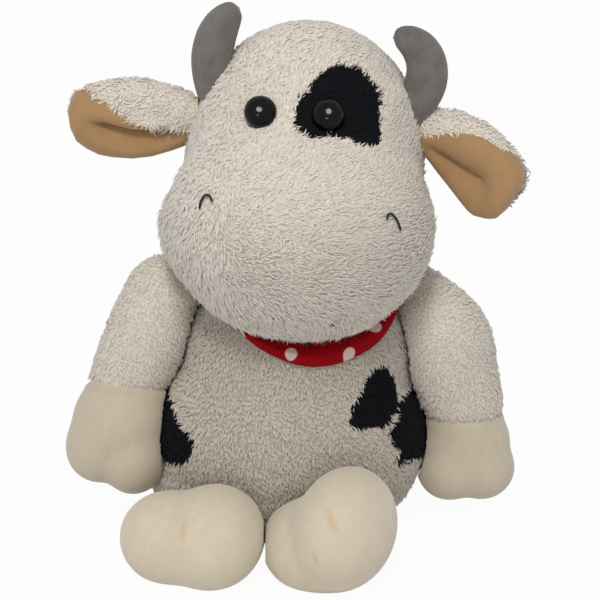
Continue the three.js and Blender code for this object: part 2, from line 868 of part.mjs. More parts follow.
function leg(name) {
  const side = sides[name];
  const group = new THREE.Group();
  const hip = hipAt(side);
  group.position.copy(hip);
  group.rotation.z = radians(legTurn);
  group.updateMatrixWorld(true);
  const intoLeg = group.matrixWorld.clone().invert();
  const placed = (geometry) => toSolid(geometry.applyMatrix4(intoLeg));
  const room = placed(
    new SweptForm(torso, hip, X.clone().negate(), -legLift, 0).geometry(fineColumns, -turnGap),
  );
  const [rightLift, leftLift] = toeLifts[name];
  const toe = (place, lift) =>
    ellipsoid(vector(place, -toeForward, lift), footWidth - 2 * toeSpread, footLength, footHeight);
  const form = new StuffedForm({
    centre: vector(0, -toeForward * 0.8, 0),
    lobes: [
      ellipsoid(vector(0, 0, 0), 2 * hipRadius, 2 * hipRadius, 2 * hipRadius),
      toe(-toeSpread, rightLift),
      toe(toeSpread, leftLift),
    ],
    blend: 2,
    floor: -hipRise - floorFlat,
  });
  // The floor and the other foot press it flat
  const pressed = (solid, wall) => {
    const beside = new THREE.BoxGeometry(100, 400, 300).translate(
      legParting - side * (50 - seamGap / 2 - wall),
      0,
      0,
    );
    return solid.subtract(slab(-hipRise - 60, -hipRise + wall)).subtract(placed(beside));
  };
  const root = (radius) => ball(origin, radius);
  const hollow = pressed(form.solid(10, velourWall), velourWall);
  const cover = pressed(form.solid(15).subtract(room), 0).add(root(hipRadius)).subtract(hollow);
  const core = pressed(form.solid(10, velourWall + seamGap).subtract(room), velourWall + seamGap);
  group.add(
    toMesh(`${name}_foot`, largest(cover), creamVelour),
    toMesh(`${name}_foot_stuffing`, largest(core), stuffing),
  );
  return group;
}

// Tail: a thin pile cord with a black tuft, lying on the floor behind

function tail() {
  const group = new THREE.Group();
  group.position.copy(tailRoot);
  const drop = tailRoot.z - tailDiameter / 2;
  const curve = new THREE.CatmullRomCurve3([
    vector(0, 0, 0),
    vector(0, tailLength * 0.3, -drop * 0.25),
    vector(0, tailLength * 0.62, -drop * 0.85),
    vector(0, tailLength * 0.95, -drop),
  ]);
  const station = (at, heading, width) => ({ at, heading, across: X.clone(), width, depth: width });
  const cordStations = Array.from({ length: 8 }, (_, i) =>
    station(curve.getPointAt(i / 7), curve.getTangentAt(i / 7), tailDiameter),
  );
  const room = toSolid(
    new SweptForm(torso, tailRoot, X, -tailSwing, 0)
      .geometry(fineColumns, -turnGap)
      .translate(...tailRoot.clone().negate()),
  );
  const floorHere = slab(-tailRoot.z - 60, -tailRoot.z);
  const cord = toSolid(outward(tapered(cordStations, 8)))
    .subtract(room)
    .add(ball(origin, tailRootRadius))
    .subtract(floorHere);
  const tip = curve.getPointAt(1);
  const swell = profile([
    [0, tailDiameter * 0.8],
    [0.35, tuftDiameter],
    [0.75, tuftDiameter * 0.7],
    [1, tuftDiameter * 0.2],
  ]);
  const tuftStations = Array.from({ length: 7 }, (_, i) => {
    const width = swell(i / 6);
    const rise = Math.max(width - tailDiameter, 0) / 2 - floorFlat;
    return station(tip.clone().add(vector(0, 1 + (tuftLength * i) / 6, rise)), Y, width);
  });
  const tuft = toSolid(outward(tapered(tuftStations, 10))).subtract(floorHere);
  group.add(toMesh("tail_cord", largest(cord), creamPile), toMesh("tail_tuft", largest(tuft), blackPile));
  return group;
}

// Assembly

const cow = new THREE.Group();
headGroup.add(...headMeshes(), ear("right"), ear("left"));
cow.add(...torsoMeshes(), headGroup, arm("right"), arm("left"), leg("right"), leg("left"), tail());

export default cow;
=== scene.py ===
import math

import bmesh
import bpy
import numpy as np
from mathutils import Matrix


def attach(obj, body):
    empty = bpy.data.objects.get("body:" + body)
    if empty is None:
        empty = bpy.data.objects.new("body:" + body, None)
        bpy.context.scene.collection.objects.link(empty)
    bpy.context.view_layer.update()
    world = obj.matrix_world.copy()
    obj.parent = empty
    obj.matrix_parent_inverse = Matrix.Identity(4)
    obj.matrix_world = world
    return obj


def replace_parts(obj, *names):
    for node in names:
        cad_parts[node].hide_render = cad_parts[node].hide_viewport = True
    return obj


# A seated plush cow. Everything is drawn in millimetres and made in metres.
# Its own right is -X, its front is -Y.
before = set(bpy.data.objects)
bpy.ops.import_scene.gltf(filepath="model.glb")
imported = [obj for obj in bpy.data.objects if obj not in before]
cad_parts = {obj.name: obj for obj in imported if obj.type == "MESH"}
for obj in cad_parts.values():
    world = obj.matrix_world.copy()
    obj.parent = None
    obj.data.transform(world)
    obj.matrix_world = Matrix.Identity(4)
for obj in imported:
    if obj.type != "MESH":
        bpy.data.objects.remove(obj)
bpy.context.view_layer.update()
chance = np.random.default_rng(11)
print("frame loaded:", len(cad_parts), "nodes")


# Shader sockets that can be added, multiplied and mixed like numbers
class Value:
    def __init__(self, paint, socket):
        self.paint = paint
        self.socket = socket

    def math(self, operation, *others, swap=False):
        values = [self, *others]
        if swap:
            values.reverse()
        return self.paint.node("ShaderNodeMath", {"operation": operation}, dict(enumerate(values)))

    def __add__(self, other):
        return self.math("ADD", other)

    def __radd__(self, other):
        return self.math("ADD", other)

    def __sub__(self, other):
        return self.math("SUBTRACT", other)

    def __rsub__(self, other):
        return self.math("SUBTRACT", other, swap=True)

    def __mul__(self, other):
        return self.math("MULTIPLY", other)

    def __rmul__(self, other):
        return self.math("MULTIPLY", other)

    def __truediv__(self, other):
        return self.math("DIVIDE", other)

    def clamp(self):
        return self.paint.node("ShaderNodeClamp", {}, {"Value": self})

    def between(self, low, high):
        inputs = {"Value": self, "From Min": low, "From Max": high}
        return self.paint.node("ShaderNodeMapRange", {"interpolation_type": "SMOOTHSTEP"}, inputs)


# The nodes of a material or of the world
class Nodes:
    def __init__(self, tree):
        self.nodes, self.links = tree.nodes, tree.links

    def plug(self, socket, value):
        if isinstance(value, Value):
            self.links.new(value.socket, socket)
        elif isinstance(value, bpy.types.NodeSocket):
            self.links.new(value, socket)
        elif socket.type == "RGBA" and len(value) == 3:
            socket.default_value = (*value, 1)
        else:
            socket.default_value = value

    def node(self, kind, settings, inputs, output=0):
        made = self.nodes.new(kind)
        for key, value in settings.items():
            setattr(made, key, value)
        for key, value in inputs.items():
            self.plug(made.inputs[key], value)
        return Value(self, made.outputs[output])

    def split(self, vector):
        made = self.node("ShaderNodeSeparateXYZ", {}, {"Vector": vector}).socket.node
        return [Value(self, output) for output in made.outputs]

    def place(self):
        return self.node("ShaderNodeTexCoord", {}, {}, "Object")

    def noise(self, scale, detail=3.0, rough=0.55, place=None):
        inputs = {"Vector": place or self.place(), "Scale": scale, "Detail": detail, "Roughness": rough}
        return self.node("ShaderNodeTexNoise", {}, inputs)

    def mix(self, share, first, second):
        return self.node("ShaderNodeMix", {"data_type": "RGBA"}, {0: share, 6: first, 7: second}, 2)

    def blend(self, share, first, second):
        return self.node("ShaderNodeMixShader", {}, {0: share, 1: first, 2: second})

    def bump(self, height, distance, strength=1.0, normal=None):
        inputs = {"Height": height, "Distance": distance, "Strength": strength}
        if normal:
            inputs["Normal"] = normal
        return self.node("ShaderNodeBump", {}, inputs)

    def seenRays(self):
        # 1 for the rays that show a thing itself: from the camera, off gloss and through glass
        kinds = ("Is Camera Ray", "Is Glossy Ray", "Is Transmission Ray")
        return sum(self.node("ShaderNodeLightPath", {}, {}, kind) for kind in kinds).clamp()


class Paint(Nodes):
    def __init__(self, name):
        self.material = bpy.data.materials.new(name)
        self.material.use_nodes = True
        super().__init__(self.material.node_tree)
        self.shader = self.nodes["Principled BSDF"]

    def finish(self, **values):
        for key, value in values.items():
            self.plug(self.shader.inputs[key.replace("_", " ")], value)
        return self.material


def shade(*levels):
    # A colour as it is seen on a screen, from 0 to 255
    return tuple(((v / 255 + 0.055) / 1.055) ** 2.4 if v > 10 else v / 255 / 12.92 for v in levels)


# Geometry helpers
def unit(v):
    return v / np.maximum(np.linalg.norm(v, axis=-1, keepdims=True), 1e-12)


def towards(turn, lift):
    # A turn round from the front towards the cow's left, and a lift, in degrees
    turn, lift = np.radians(turn), np.radians(lift)
    return np.stack([np.sin(turn) * np.cos(lift), -np.cos(turn) * np.cos(lift), np.sin(lift) + 0 * turn], -1)


def turning(axis, degrees):
    a = unit(np.array(axis, float))
    c, s = math.cos(math.radians(degrees)), math.sin(math.radians(degrees))
    cross = np.array([[0, -a[2], a[1]], [a[2], 0, -a[0]], [-a[1], a[0], 0]])
    return np.eye(3) * c + cross * s + np.outer(a, a) * (1 - c)


def smoothStep(low, high, x):
    t = np.clip((x - low) / (high - low), 0, 1)
    return t * t * (3 - 2 * t)


def tableAt(table, x):
    return np.interp(x, *np.array(table, float).T)


def angleSteps(count):
    return np.linspace(0, 2 * math.pi, count, endpoint=False)


def waves(points, size, seed, count=7):
    # A smooth random field from -1 to 1 that changes over this many millimetres
    pick = np.random.default_rng(seed)
    total = 0
    for _ in range(count):
        heading = unit(pick.normal(size=3))
        wave = points @ heading * (2 * math.pi / size) * pick.uniform(0.7, 1.4)
        total = total + np.sin(wave + pick.uniform(0, 6.3))
    return total / math.sqrt(count)


def tangential(field, normals):
    return unit(field - (field * normals).sum(-1, keepdims=True) * normals)


def spun(flow, normals, angles):
    return flow * np.cos(angles)[:, None] + np.cross(normals, flow) * np.sin(angles)[:, None]


def makeMesh(name, points, faces, uv=None, smooth=True, shading=None):
    points = np.asarray(points, np.float32) * 0.001
    faces = np.asarray(faces, np.int32)
    mesh = bpy.data.meshes.new(name)
    corners = faces.shape[1]
    mesh.vertices.add(len(points))
    mesh.vertices.foreach_set("co", points.ravel())
    mesh.loops.add(faces.size)
    mesh.loops.foreach_set("vertex_index", faces.ravel())
    mesh.polygons.add(len(faces))
    mesh.polygons.foreach_set("loop_start", np.arange(len(faces), dtype=np.int32) * corners)
    mesh.polygons.foreach_set("loop_total", np.full(len(faces), corners, np.int32))
    mesh.update(calc_edges=True)
    mesh.polygons.foreach_set("use_smooth", np.full(len(faces), smooth))
    if uv is not None:
        mesh.uv_layers.new(name="OFBake").data.foreach_set("uv", np.asarray(uv, np.float32).ravel())
    mesh.validate()
    if shading is not None:
        mesh.normals_split_custom_set_from_vertices(np.asarray(shading, np.float32))
    made = bpy.data.objects.new(name, mesh)
    bpy.context.scene.collection.objects.link(made)
    return made


def gridFaces(rows, columns, closed=True):
    r, c = np.meshgrid(np.arange(rows - 1), np.arange(columns if closed else columns - 1), indexing="ij")
    a, b = r * columns + c, r * columns + (c + 1) % columns
    return np.stack([a, b, b + columns, a + columns], -1).reshape(-1, 4)


def pointNormals(points, faces):
    corners = points[faces]
    across = np.cross(corners[:, 2] - corners[:, 0], corners[:, -1] - corners[:, 1])
    total = np.zeros_like(points)
    for i in range(faces.shape[1]):
        np.add.at(total, faces[:, i], across)
    return unit(total)


def facedOut(points, faces, middles):
    # Turns the faces over where they look inwards
    inwards = (pointNormals(points, faces) * (points - middles)).sum() < 0
    return faces[:, ::-1] if inwards else faces


def curveAt(a, b, c, d, t):
    # On the way from b to c, with a before and d after
    return 0.5 * (2 * b + (c - a) * t + (2 * a - 5 * b + 4 * c - d) * t * t + (3 * b - a - 3 * c + d) * t**3)


def smoothThrough(points, count):
    points = np.array(points, float)
    padded = np.vstack([2 * points[0] - points[1], points, 2 * points[-1] - points[-2]])
    shares = np.linspace(0, 1, count)[:-1]
    out = [curveAt(*padded[i : i + 4], t) for i in range(len(points) - 1) for t in shares]
    return np.array([*out, points[-1]])


def roundSphere(detail):
    ball = bmesh.new()
    bmesh.ops.create_icosphere(ball, subdivisions=detail, radius=1)
    points = np.array([v.co[:] for v in ball.verts])
    faces = np.array([[v.index for v in f.verts] for f in ball.faces])
    ball.free()
    return unit(points), faces


# Stuffed forms: lobes that swell into each other, seen from a centre
def reach(lobe, centre, directions):
    middle, radii = (np.array(v, float) for v in lobe)
    start, step = (centre - middle) / radii, directions / radii
    square, along = (step * step).sum(-1), (step * start).sum(-1)
    within = along * along - square * ((start * start).sum() - 1)
    side = np.where(within < 0, -3 * np.sqrt(np.abs(within)), np.sqrt(np.abs(within)))
    return (side - along) / square


def softMax(values, blend):
    values = np.stack(values)
    top = values.max(0)
    return top + blend * np.log(np.exp((values - top) / blend).sum(0))


class StuffedForm:
    def __init__(self, centre, lobes, blend, floor=None, turned=np.eye(3), moved=(0, 0, 0)):
        self.centre, self.lobes, self.blend, self.floor = np.array(centre, float), lobes, blend, floor
        self.turned, self.moved = turned, np.array(moved, float)

    def outwards(self, points):
        return points @ self.turned.T + self.moved

    def inwards(self, points):
        return (points - self.moved) @ self.turned

    def radius(self, directions):
        swell = softMax([reach(lobe, self.centre, directions) for lobe in self.lobes], self.blend)
        if self.floor is not None:
            down = directions[..., 2] < -1e-3
            steep = np.where(down, directions[..., 2], -1)
            toFloor = np.where(down, (self.floor - self.centre[2]) / steep, 1e4)
            swell = np.where(down, -softMax([-swell, -toFloor], 1.0), swell)
        return swell

    def surface(self, directions, lift=0.0):
        lift = np.asarray(lift)[..., None] if np.ndim(lift) else lift
        return self.outwards(self.centre + directions * (self.radius(directions)[..., None] + lift))

    def normals(self, directions):
        side = np.where(np.abs(directions[..., 2:]) < 0.9, [[0, 0, 1.0]], [[1.0, 0, 0]])
        across = unit(np.cross(side, directions))
        up = np.cross(directions, across)
        near = lambda way, sign: self.surface(unit(directions + way * sign * 0.02))
        return unit(np.cross(near(across, 1) - near(across, -1), near(up, 1) - near(up, -1)))

    def depth(self, points):
        # How far inside the form a point is, along the line from its centre
        offset = self.inwards(points) - self.centre
        far = np.linalg.norm(offset, axis=-1)
        return self.radius(offset / np.maximum(far, 1e-9)[..., None]) - far


def touching(points, neighbours):
    return np.any([deep(points) > 0 for deep in neighbours], 0)


def pressed(centre, directions, radii, neighbours, soften=1.2):
    # Shortens rays from a centre before they run into a neighbour, which tells how deep a point is in it
    shares = np.linspace(0.15, 1, 36)
    hit = np.full(len(directions), 1.3)
    at = lambda share: centre + directions * (radii * share)[:, None]
    for share in shares[::-1]:
        hit[touching(at(share), neighbours)] = share
    low, high = hit - (shares[1] - shares[0]), hit.copy()
    touched = hit < 1.2
    for _ in range(9):
        middle = (low + high) / 2
        inside = touching(at(middle), neighbours)
        high = np.where(inside & touched, middle, high)
        low = np.where(~inside & touched, middle, low)
    stop = np.where(touched, high * radii, radii * 1.3)
    return -softMax([-radii, -stop], soften)


# Fabrics and other finishes
cloth = {
    # The root colours are darker than the tips: painted shade down among the strands
    "creamShadedRoot": shade(221, 211, 196),
    "creamTip": shade(235, 227, 216),
    "creamGround": shade(226, 215, 199),
    # The deep colours go in the hollows between the ground's loops as painted shade, and at random as tone
    "creamHollowShadeAndTone": shade(206, 190, 172),
    # The body's colours are the cream ones darkened, as painted shade under the head and between the arms
    "bodyShadedRoot": shade(196, 184, 169),
    "bodyShadedTip": shade(211, 202, 189),
    "bodyShadedGround": shade(192, 180, 165),
    "bodyHollowShadeAndTone": shade(172, 158, 142),
    # The black pile's root colour, darker than its tip as painted shade
    "black": shade(15, 15, 18),
    "blackTip": shade(28, 28, 33),
    "blackGround": shade(20, 20, 24),
    "blackHollowShadeAndTone": shade(12, 12, 15),
    "foot": shade(210, 198, 176),
    "footWorn": shade(212, 191, 153),
    # The hands' velour is the feet's, darkened as painted shade
    "hand": shade(195, 183, 162),
    "handWornAndShaded": shade(197, 177, 143),
    "crease": shade(204, 170, 122),
    "tan": shade(166, 131, 91),
    "tanWorn": shade(147, 109, 67),
    "suede": shade(112, 107, 102),
    "suedeDark": shade(86, 81, 77),
    "suedeLight": shade(124, 119, 114),
    # The red, its darker weave tone and the dots are the cloth's own colours darkened as painted shade from
    # the head above
    "red": shade(146, 3, 14),
    "redDark": shade(106, 2, 10),
    "dot": shade(206, 178, 176),
    "thread": shade(20, 22, 26),
    "eye": shade(4, 4, 5),
}
soleCreases = [
    # Faint worn lines: the middle, the heading, half the length and half the width
    ((-41.8, -72, 30.8), (-1.3, -7.1, -7.9), 8.5, 3.2),
    ((17, -82.6, 39.2), (5, -8.3, -8), 9, 3.0),
    ((10.8, -85.5, 23.8), (4, -2, -9), 5.5, 2.4),
]
shadeCount = 16


def pilePaint(name, root, tip, spread, sheen=0.1, specular=0.15):
    # A strand's colour comes from its map: across are the shades that strands are dyed, up is root to tip,
    # with the root darker than the tip as painted shade
    p = Paint(name)
    across, along, _ = p.split(p.node("ShaderNodeUVMap", {"uv_map": "OFBake"}, {}))
    step = (across * shadeCount).math("FLOOR") / (shadeCount - 1)
    colour = p.mix(along.between(0.0, 0.85), root, tip)
    dull = p.mix(step, tuple(c * (1 - spread) for c in tip), tip)
    return p.finish(
        Base_Color=p.mix(along.between(0.1, 1.0) * 0.75, colour, dull), Roughness=0.85,
        Sheen_Weight=sheen, Sheen_Roughness=0.5, Specular_IOR_Level=specular,
    )


def groundPaint(name, colour, deep):
    # The knitted ground that the pile stands in: the deep colour goes in the hollows between its loops as
    # painted shade, and at random as tone
    p = Paint(name)
    loops = p.node("ShaderNodeTexVoronoi", {"feature": "F1"}, {"Vector": p.place(), "Scale": 900.0})
    share = (loops.between(0.1, 0.75) * 0.7 + p.noise(260.0) * 0.3).clamp()
    return p.finish(
        Base_Color=p.mix(share, colour, deep), Roughness=0.95, Normal=p.bump(1 - loops, 0.0006, 0.8),
        Specular_IOR_Level=0.15,
    )


def creaseShare(p, middle, along, length, width):
    # From 1 on a worn line to 0 beside it
    x, y, z = along
    turned = (0, math.atan2(math.hypot(x, y), z), math.atan2(y, x))
    inputs = {
        "Vector": p.place(), "Location": [v * 0.001 for v in middle], "Rotation": turned,
        "Scale": (width * 0.001, width * 0.001, length * 0.001),
    }
    near = p.node("ShaderNodeMapping", {"vector_type": "TEXTURE"}, inputs)
    far = p.node("ShaderNodeVectorMath", {"operation": "LENGTH"}, {"Vector": near}, "Value")
    return 1 - far.between(0.0, 1.0)


def velourPaint(name, colour, worn, nap=0.00022, wornShare=0.35, fibre=2400.0, creases=()):
    # Short brushed nap: fine fibres, and broad soft marks where it is stroked one way or another
    p = Paint(name)
    fibres = p.noise(fibre, 4.0, 0.65)
    stretched = p.node("ShaderNodeMapping", {}, {"Vector": p.place(), "Scale": (1.0, 1.0, 0.45)})
    strokes = p.noise(260.0, 4.0, 0.6, stretched)
    base = p.mix(p.noise(42.0, 3.0, 0.5).between(0.5, 0.8) * wornShare, colour, worn)
    base = p.mix((1 - strokes.between(0.35, 0.68)) * 0.45, base, tuple(c * 0.87 for c in colour))
    base = p.mix(fibres.between(0.3, 0.7) * 0.25, base, tuple(min(1, c * 1.12) for c in colour))
    for crease in creases:
        base = p.mix(creaseShare(p, *crease) * 0.55, base, cloth["crease"])
    return p.finish(
        Base_Color=base, Roughness=0.9, Sheen_Weight=0.35, Sheen_Roughness=0.45, Specular_IOR_Level=0.2,
        Normal=p.bump(strokes, nap * 3, 0.35, p.bump(fibres, nap, 0.7)),
    )


def fillerPaint(name, colour, dark, scale):
    p = Paint(name)
    tufts = p.noise(scale, 5.0, 0.65)
    colour = p.mix(tufts.between(0.35, 0.7), dark, colour)
    return p.finish(Base_Color=colour, Roughness=0.95, Normal=p.bump(tufts, 0.001, 0.6))


def threadPaint():
    p = Paint("black embroidery thread")
    place = p.node("ShaderNodeMapping", {}, {"Vector": p.place(), "Rotation": (0.3, 0.6, 0.9)})
    twist = p.node("ShaderNodeTexWave", {}, {"Vector": place, "Scale": 700.0, "Distortion": 1.0})
    return p.finish(
        Base_Color=cloth["thread"], Roughness=0.55, Normal=p.bump(twist, 0.0003, 0.6), Specular_IOR_Level=0.35
    )


def plasticPaint(name, colour, roughness, specular=0.5):
    p = Paint(name)
    scuffs = p.noise(1800.0, 3.0).between(0.55, 0.9) * 0.04
    return p.finish(Base_Color=colour, Roughness=scuffs + roughness, Specular_IOR_Level=specular)


def suedePaint():
    p = Paint("grey suede")
    grain = p.noise(1500.0, 5.0, 0.7)
    mottle = p.noise(150.0, 4.0, 0.6).between(0.35, 0.7)
    colour = p.mix(mottle * 0.6, cloth["suede"], cloth["suedeDark"])
    return p.finish(
        Base_Color=p.mix(grain.between(0.4, 0.62) * 0.3, colour, cloth["suedeLight"]), Roughness=0.92,
        Sheen_Weight=0.25, Normal=p.bump(grain, 0.0004, 0.7), Specular_IOR_Level=0.2,
    )


creamPile = pilePaint("cream terry pile", cloth["creamShadedRoot"], cloth["creamTip"], 0.08)
# The body's pile and ground are the cream ones darkened: painted shade under the head and between the arms
bodyShadedPile = pilePaint("cream terry pile of the body, darkened as painted shade", cloth["bodyShadedRoot"], cloth["bodyShadedTip"], 0.08)
blackPile = pilePaint("black terry pile", cloth["black"], cloth["blackTip"], 0.5, 0.02, 0.06)
creamGround = groundPaint("cream knitted ground", cloth["creamGround"], cloth["creamHollowShadeAndTone"])
bodyShadedGround = groundPaint("cream knitted ground of the body, darkened as painted shade", cloth["bodyShadedGround"], cloth["bodyHollowShadeAndTone"])
blackGround = groundPaint("black knitted ground", cloth["blackGround"], cloth["blackHollowShadeAndTone"])
# The hands take the feet's velour colours darkened: painted shade
handShadedVelour = velourPaint("cream velour of the hands, darkened as painted shade", cloth["hand"], cloth["handWornAndShaded"])
footVelour = velourPaint("cream velour of the feet", cloth["foot"], cloth["footWorn"], creases=soleCreases)
tanVelour = velourPaint("tan velour", cloth["tan"], cloth["tanWorn"], nap=0.0003, wornShare=0.5, fibre=1500.0)
fibrefill = fillerPaint("polyester stuffing", shade(240, 240, 238), shade(214, 214, 212), 320.0)
pelletCloth = fillerPaint("pellet bag cloth", shade(224, 220, 210), shade(196, 190, 178), 1400.0)
blackThread = threadPaint()
eyePlastic = plasticPaint("black eye plastic", cloth["eye"], 0.09, specular=0.15)
washerPlastic = plasticPaint("washer plastic", shade(226, 226, 222), 0.4)
greySuede = suedePaint()
print("fabrics mixed")


def finishPiece(piece, paint, body, slot, *nodes):
    piece.data.materials.append(paint)
    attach(piece, body)
    if nodes:
        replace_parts(piece, *nodes)
    return piece


def skinPiece(name, points, faces, *finish):
    # Part of a skin, with only the points that its faces use
    used, inverse = np.unique(faces, return_inverse=True)
    return finishPiece(makeMesh(name, points[used], inverse.reshape(faces.shape)), *finish)


# Pile: thousands of tapered strands, each a closed three-sided spike that leans over and curls a little
spikeSteps = np.array([0.0, 0.5, 1.0])
spikeWidths = np.array([0.8, 1.0])


def spikePattern():
    triangles, places = [], []
    middle = spikeSteps[1]
    for j in range(3):
        k = (j + 1) % 3
        corners = {j: (j / 3, 0), k: ((j + 1) / 3, 0), 3 + k: ((j + 1) / 3, middle), 3 + j: (j / 3, middle)}
        for triangle in ((3 + k, k, j), (3 + j, 3 + k, j)):
            triangles.append(triangle)
            places.append([corners[v] for v in triangle])
        triangles.append((6, 3 + k, 3 + j))
        places.append([((j + 0.5) / 3, 1.0), ((j + 1) / 3, middle), (j / 3, middle)])
    triangles.append((0, 1, 2))
    places.append([(0.1, 0.0), (0.9, 0.0), (0.5, 0.03)])
    return np.array(triangles), np.array(places)


spikeTriangles, spikePlaces = spikePattern()


def strandShades(points):
    return np.clip(0.62 + 0.14 * waves(points, 9.0, 5) + 0.16 * chance.normal(size=len(points)), 0, 0.999)


def laid(roots, normals, field, swirl, share=1):
    # The way the pile lies: along a field, swirled by broad waves and strayed strand by strand
    angles = swirl["amount"] * waves(roots, swirl["size"], swirl["seed"])
    angles = angles + swirl["stray"] * chance.normal(size=len(roots))
    return spun(tangential(np.broadcast_to(field, roots.shape), normals), normals, angles * share)


def strandsAt(roots, normals, flow, lengths=1.0):
    return [roots, normals, flow, strandShades(roots), np.broadcast_to(lengths, len(roots))]


def growPile(name, strands, style, paint, body, slot):
    roots, normals, flow, shades, lengths = strands
    count = len(roots)
    pick = lambda: chance.normal(size=count)
    lean = np.radians(np.clip(style["lean"] + style["leanSpread"] * pick(), 5, 88))[:, None]
    length = (style["length"] * np.clip(1 + style["uneven"] * pick(), 0.45, 1.6) * lengths)[:, None]
    side = np.cross(normals, flow)
    curl = style["curl"] * pick()[:, None]
    line = []
    # A strand rises first and then runs on along the flow, with a curl to one side
    for step in spikeSteps:
        rise = np.cos(lean) * (step - 0.4 * step * step) * 1.4
        run = np.sin(lean) * (0.6 * step + 0.4 * step * step)
        bend = curl * (1.2 * step * (1 - step) + 0.3 * step)
        point = roots - normals * style["sink"] + length * (normals * rise + flow * run + side * bend)
        point[:, 2] -= (length * style["droop"] * step * step)[:, 0]
        line.append(point)
    line = np.stack(line, 1)
    heading = unit(np.gradient(line, axis=1))
    thick = style["thick"] * np.clip(1 + 0.25 * pick(), 0.5, 1.6)
    corners, shading = np.zeros((count, 7, 3)), np.zeros((count, 7, 3))
    angles = np.radians([90, 210, 330])
    for k in range(2):
        across = unit(np.cross(heading[:, k], normals) + 1e-6)
        over = np.cross(across, heading[:, k])
        for j, angle in enumerate(angles):
            push = across * math.cos(angle) + over * math.sin(angle)
            corners[:, 3 * k + j] = line[:, k] + push * (thick * spikeWidths[k] / 2)[:, None]
            shading[:, 3 * k + j] = unit(normals + push * style["round"])
    corners[:, 6], shading[:, 6] = line[:, 2], unit(normals + heading[:, 2] * style["round"] * 0.6)
    corners[..., 2] = np.maximum(corners[..., 2], 0.05)
    column = np.clip((shades * shadeCount).astype(int), 0, shadeCount - 1)
    uv = np.broadcast_to(spikePlaces, (count, *spikePlaces.shape)).copy()
    uv[..., 0] = (column[:, None, None] + 0.1 + 0.8 * uv[..., 0]) / shadeCount
    uv[..., 1] = 0.02 + 0.96 * uv[..., 1]
    faces = (np.arange(count)[:, None, None] * 7 + spikeTriangles).reshape(-1, 3)
    made = makeMesh(name, corners.reshape(-1, 3), faces, uv.reshape(-1, 2), shading=shading.reshape(-1, 3))
    return finishPiece(made, paint, body, slot)


def growPanels(panels, strands, *finish):
    for name, mask in panels.items():
        growPile(name, [part[mask] for part in strands], *finish)


def patchPiece(name, points, faces, strands, style, body):
    # A black patch let into a skin
    skinPiece(f"{name}_ground", points, faces, blackGround, body, "black_pile")
    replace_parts(growPile(f"{name}_pile", strands, style, blackPile, body, "black_pile"), name)


def intoRows(roots, normals, axis, rows):
    # Draws the roots into the knitted ground's wavy rows
    axis, pitch, wave = unit(np.array(axis, float)), rows["pitch"], rows["wave"]
    level = roots @ axis + wave * waves(roots, 16, rows["seed"])
    level = level + 0.35 * wave * waves(roots, 5, rows["seed"] + 1)
    shift = (np.round(level / pitch) * pitch - level) * rows["pull"]
    along = tangential(np.broadcast_to(axis, roots.shape), normals)
    rise = np.clip((along * axis).sum(1), 0.35, 1)
    return roots + along * (shift / rise)[:, None]


def scatter(points, normals, faces, spacing, row):
    # Even random places over a mesh: its faces are taken in rows, and each place stands for the same area
    corners = points[faces]
    if faces.shape[1] == 4:
        faces = np.concatenate([faces[:, [0, 1, 2]], faces[:, [0, 2, 3]]])
        corners = points[faces]
    area = np.linalg.norm(np.cross(corners[:, 1] - corners[:, 0], corners[:, 2] - corners[:, 0]), axis=1) / 2
    middle = corners.mean(1)
    about = middle - middle.mean(0)
    order = np.lexsort((np.arctan2(about[:, 1], about[:, 0]), np.floor(middle[:, 2] / row)))
    total = np.cumsum(area[order])
    count = int(total[-1] / spacing**2)
    marks = (np.arange(count) + chance.random(count)) * total[-1] / count
    which = order[np.minimum(np.searchsorted(total, marks), len(order) - 1)]
    u, v = chance.random(count), chance.random(count)
    over = u + v > 1
    u[over], v[over] = 1 - u[over], 1 - v[over]
    shares = np.stack([1 - u - v, u, v], 1)[:, :, None]
    return (points[faces[which]] * shares).sum(1), unit((normals[faces[which]] * shares).sum(1))


# The main forms, placed as they sit
def sweptDepth(form, pivot, axis, angles, clearance):
    # How deep a point comes in a form while it turns about a pivot
    turns = [turning(axis, angle) for angle in angles]
    pivot = np.array(pivot, float)
    return lambda points: np.max([form.depth((points - pivot) @ t.T + pivot) for t in turns], 0) + clearance


neck = (2, 9, 110)
torso = StuffedForm(
    (1, 4, 58.5),
    [
        ((-1, 4, 38), (61, 47, 48)), ((-7, 4, 21), (53, 41, 24)), ((3.8, 4, 78), (47.6, 36, 41)),
        ((2, 9, 104), (17, 17, 17)),
    ],
    4.6, floor=-0.5,
)
head = StuffedForm(
    (0, -17, 42),
    [
        ((0, -4, 52.5), (49.8, 43, 57.3)), ((0, -30, 31.5), (54.5, 42, 47.5)),
        ((-13, -21, 24.5), (43.4, 31, 30)),
    ],
    3, turned=turning((0, 1, 0), 5), moved=neck,
)
sides = {"right": -1, "left": 1}
shoulders = {name: np.array([3 + side * 56, 4, 102.0]) for name, side in sides.items()}
hips = {name: np.array([-1 + side * 27, -24, 21.5]) for name, side in sides.items()}
splay = {"right": 19, "left": 15}
sweeps = {"arm": (0, 18, 36, 55), "leg": (0, 9, 18), "head": (0, 9, 18)}  # angles at which forms keep clear
sphereWays, sphereFaces = roundSphere(7)
fineWays, fineFaces = roundSphere(6)
roughWays, roughFaces = roundSphere(5)
wallRoom = 4.0  # from a cover to the stuffing in it


def skinOf(form, ways, faces, lift, neighbours=()):
    radii = form.radius(ways) + lift
    centre = form.outwards(form.centre)
    directions = ways @ form.turned.T
    if neighbours:
        radii = pressed(centre, directions, radii, neighbours)
    points = centre + directions * radii[:, None]
    return points, pointNormals(points, faces)


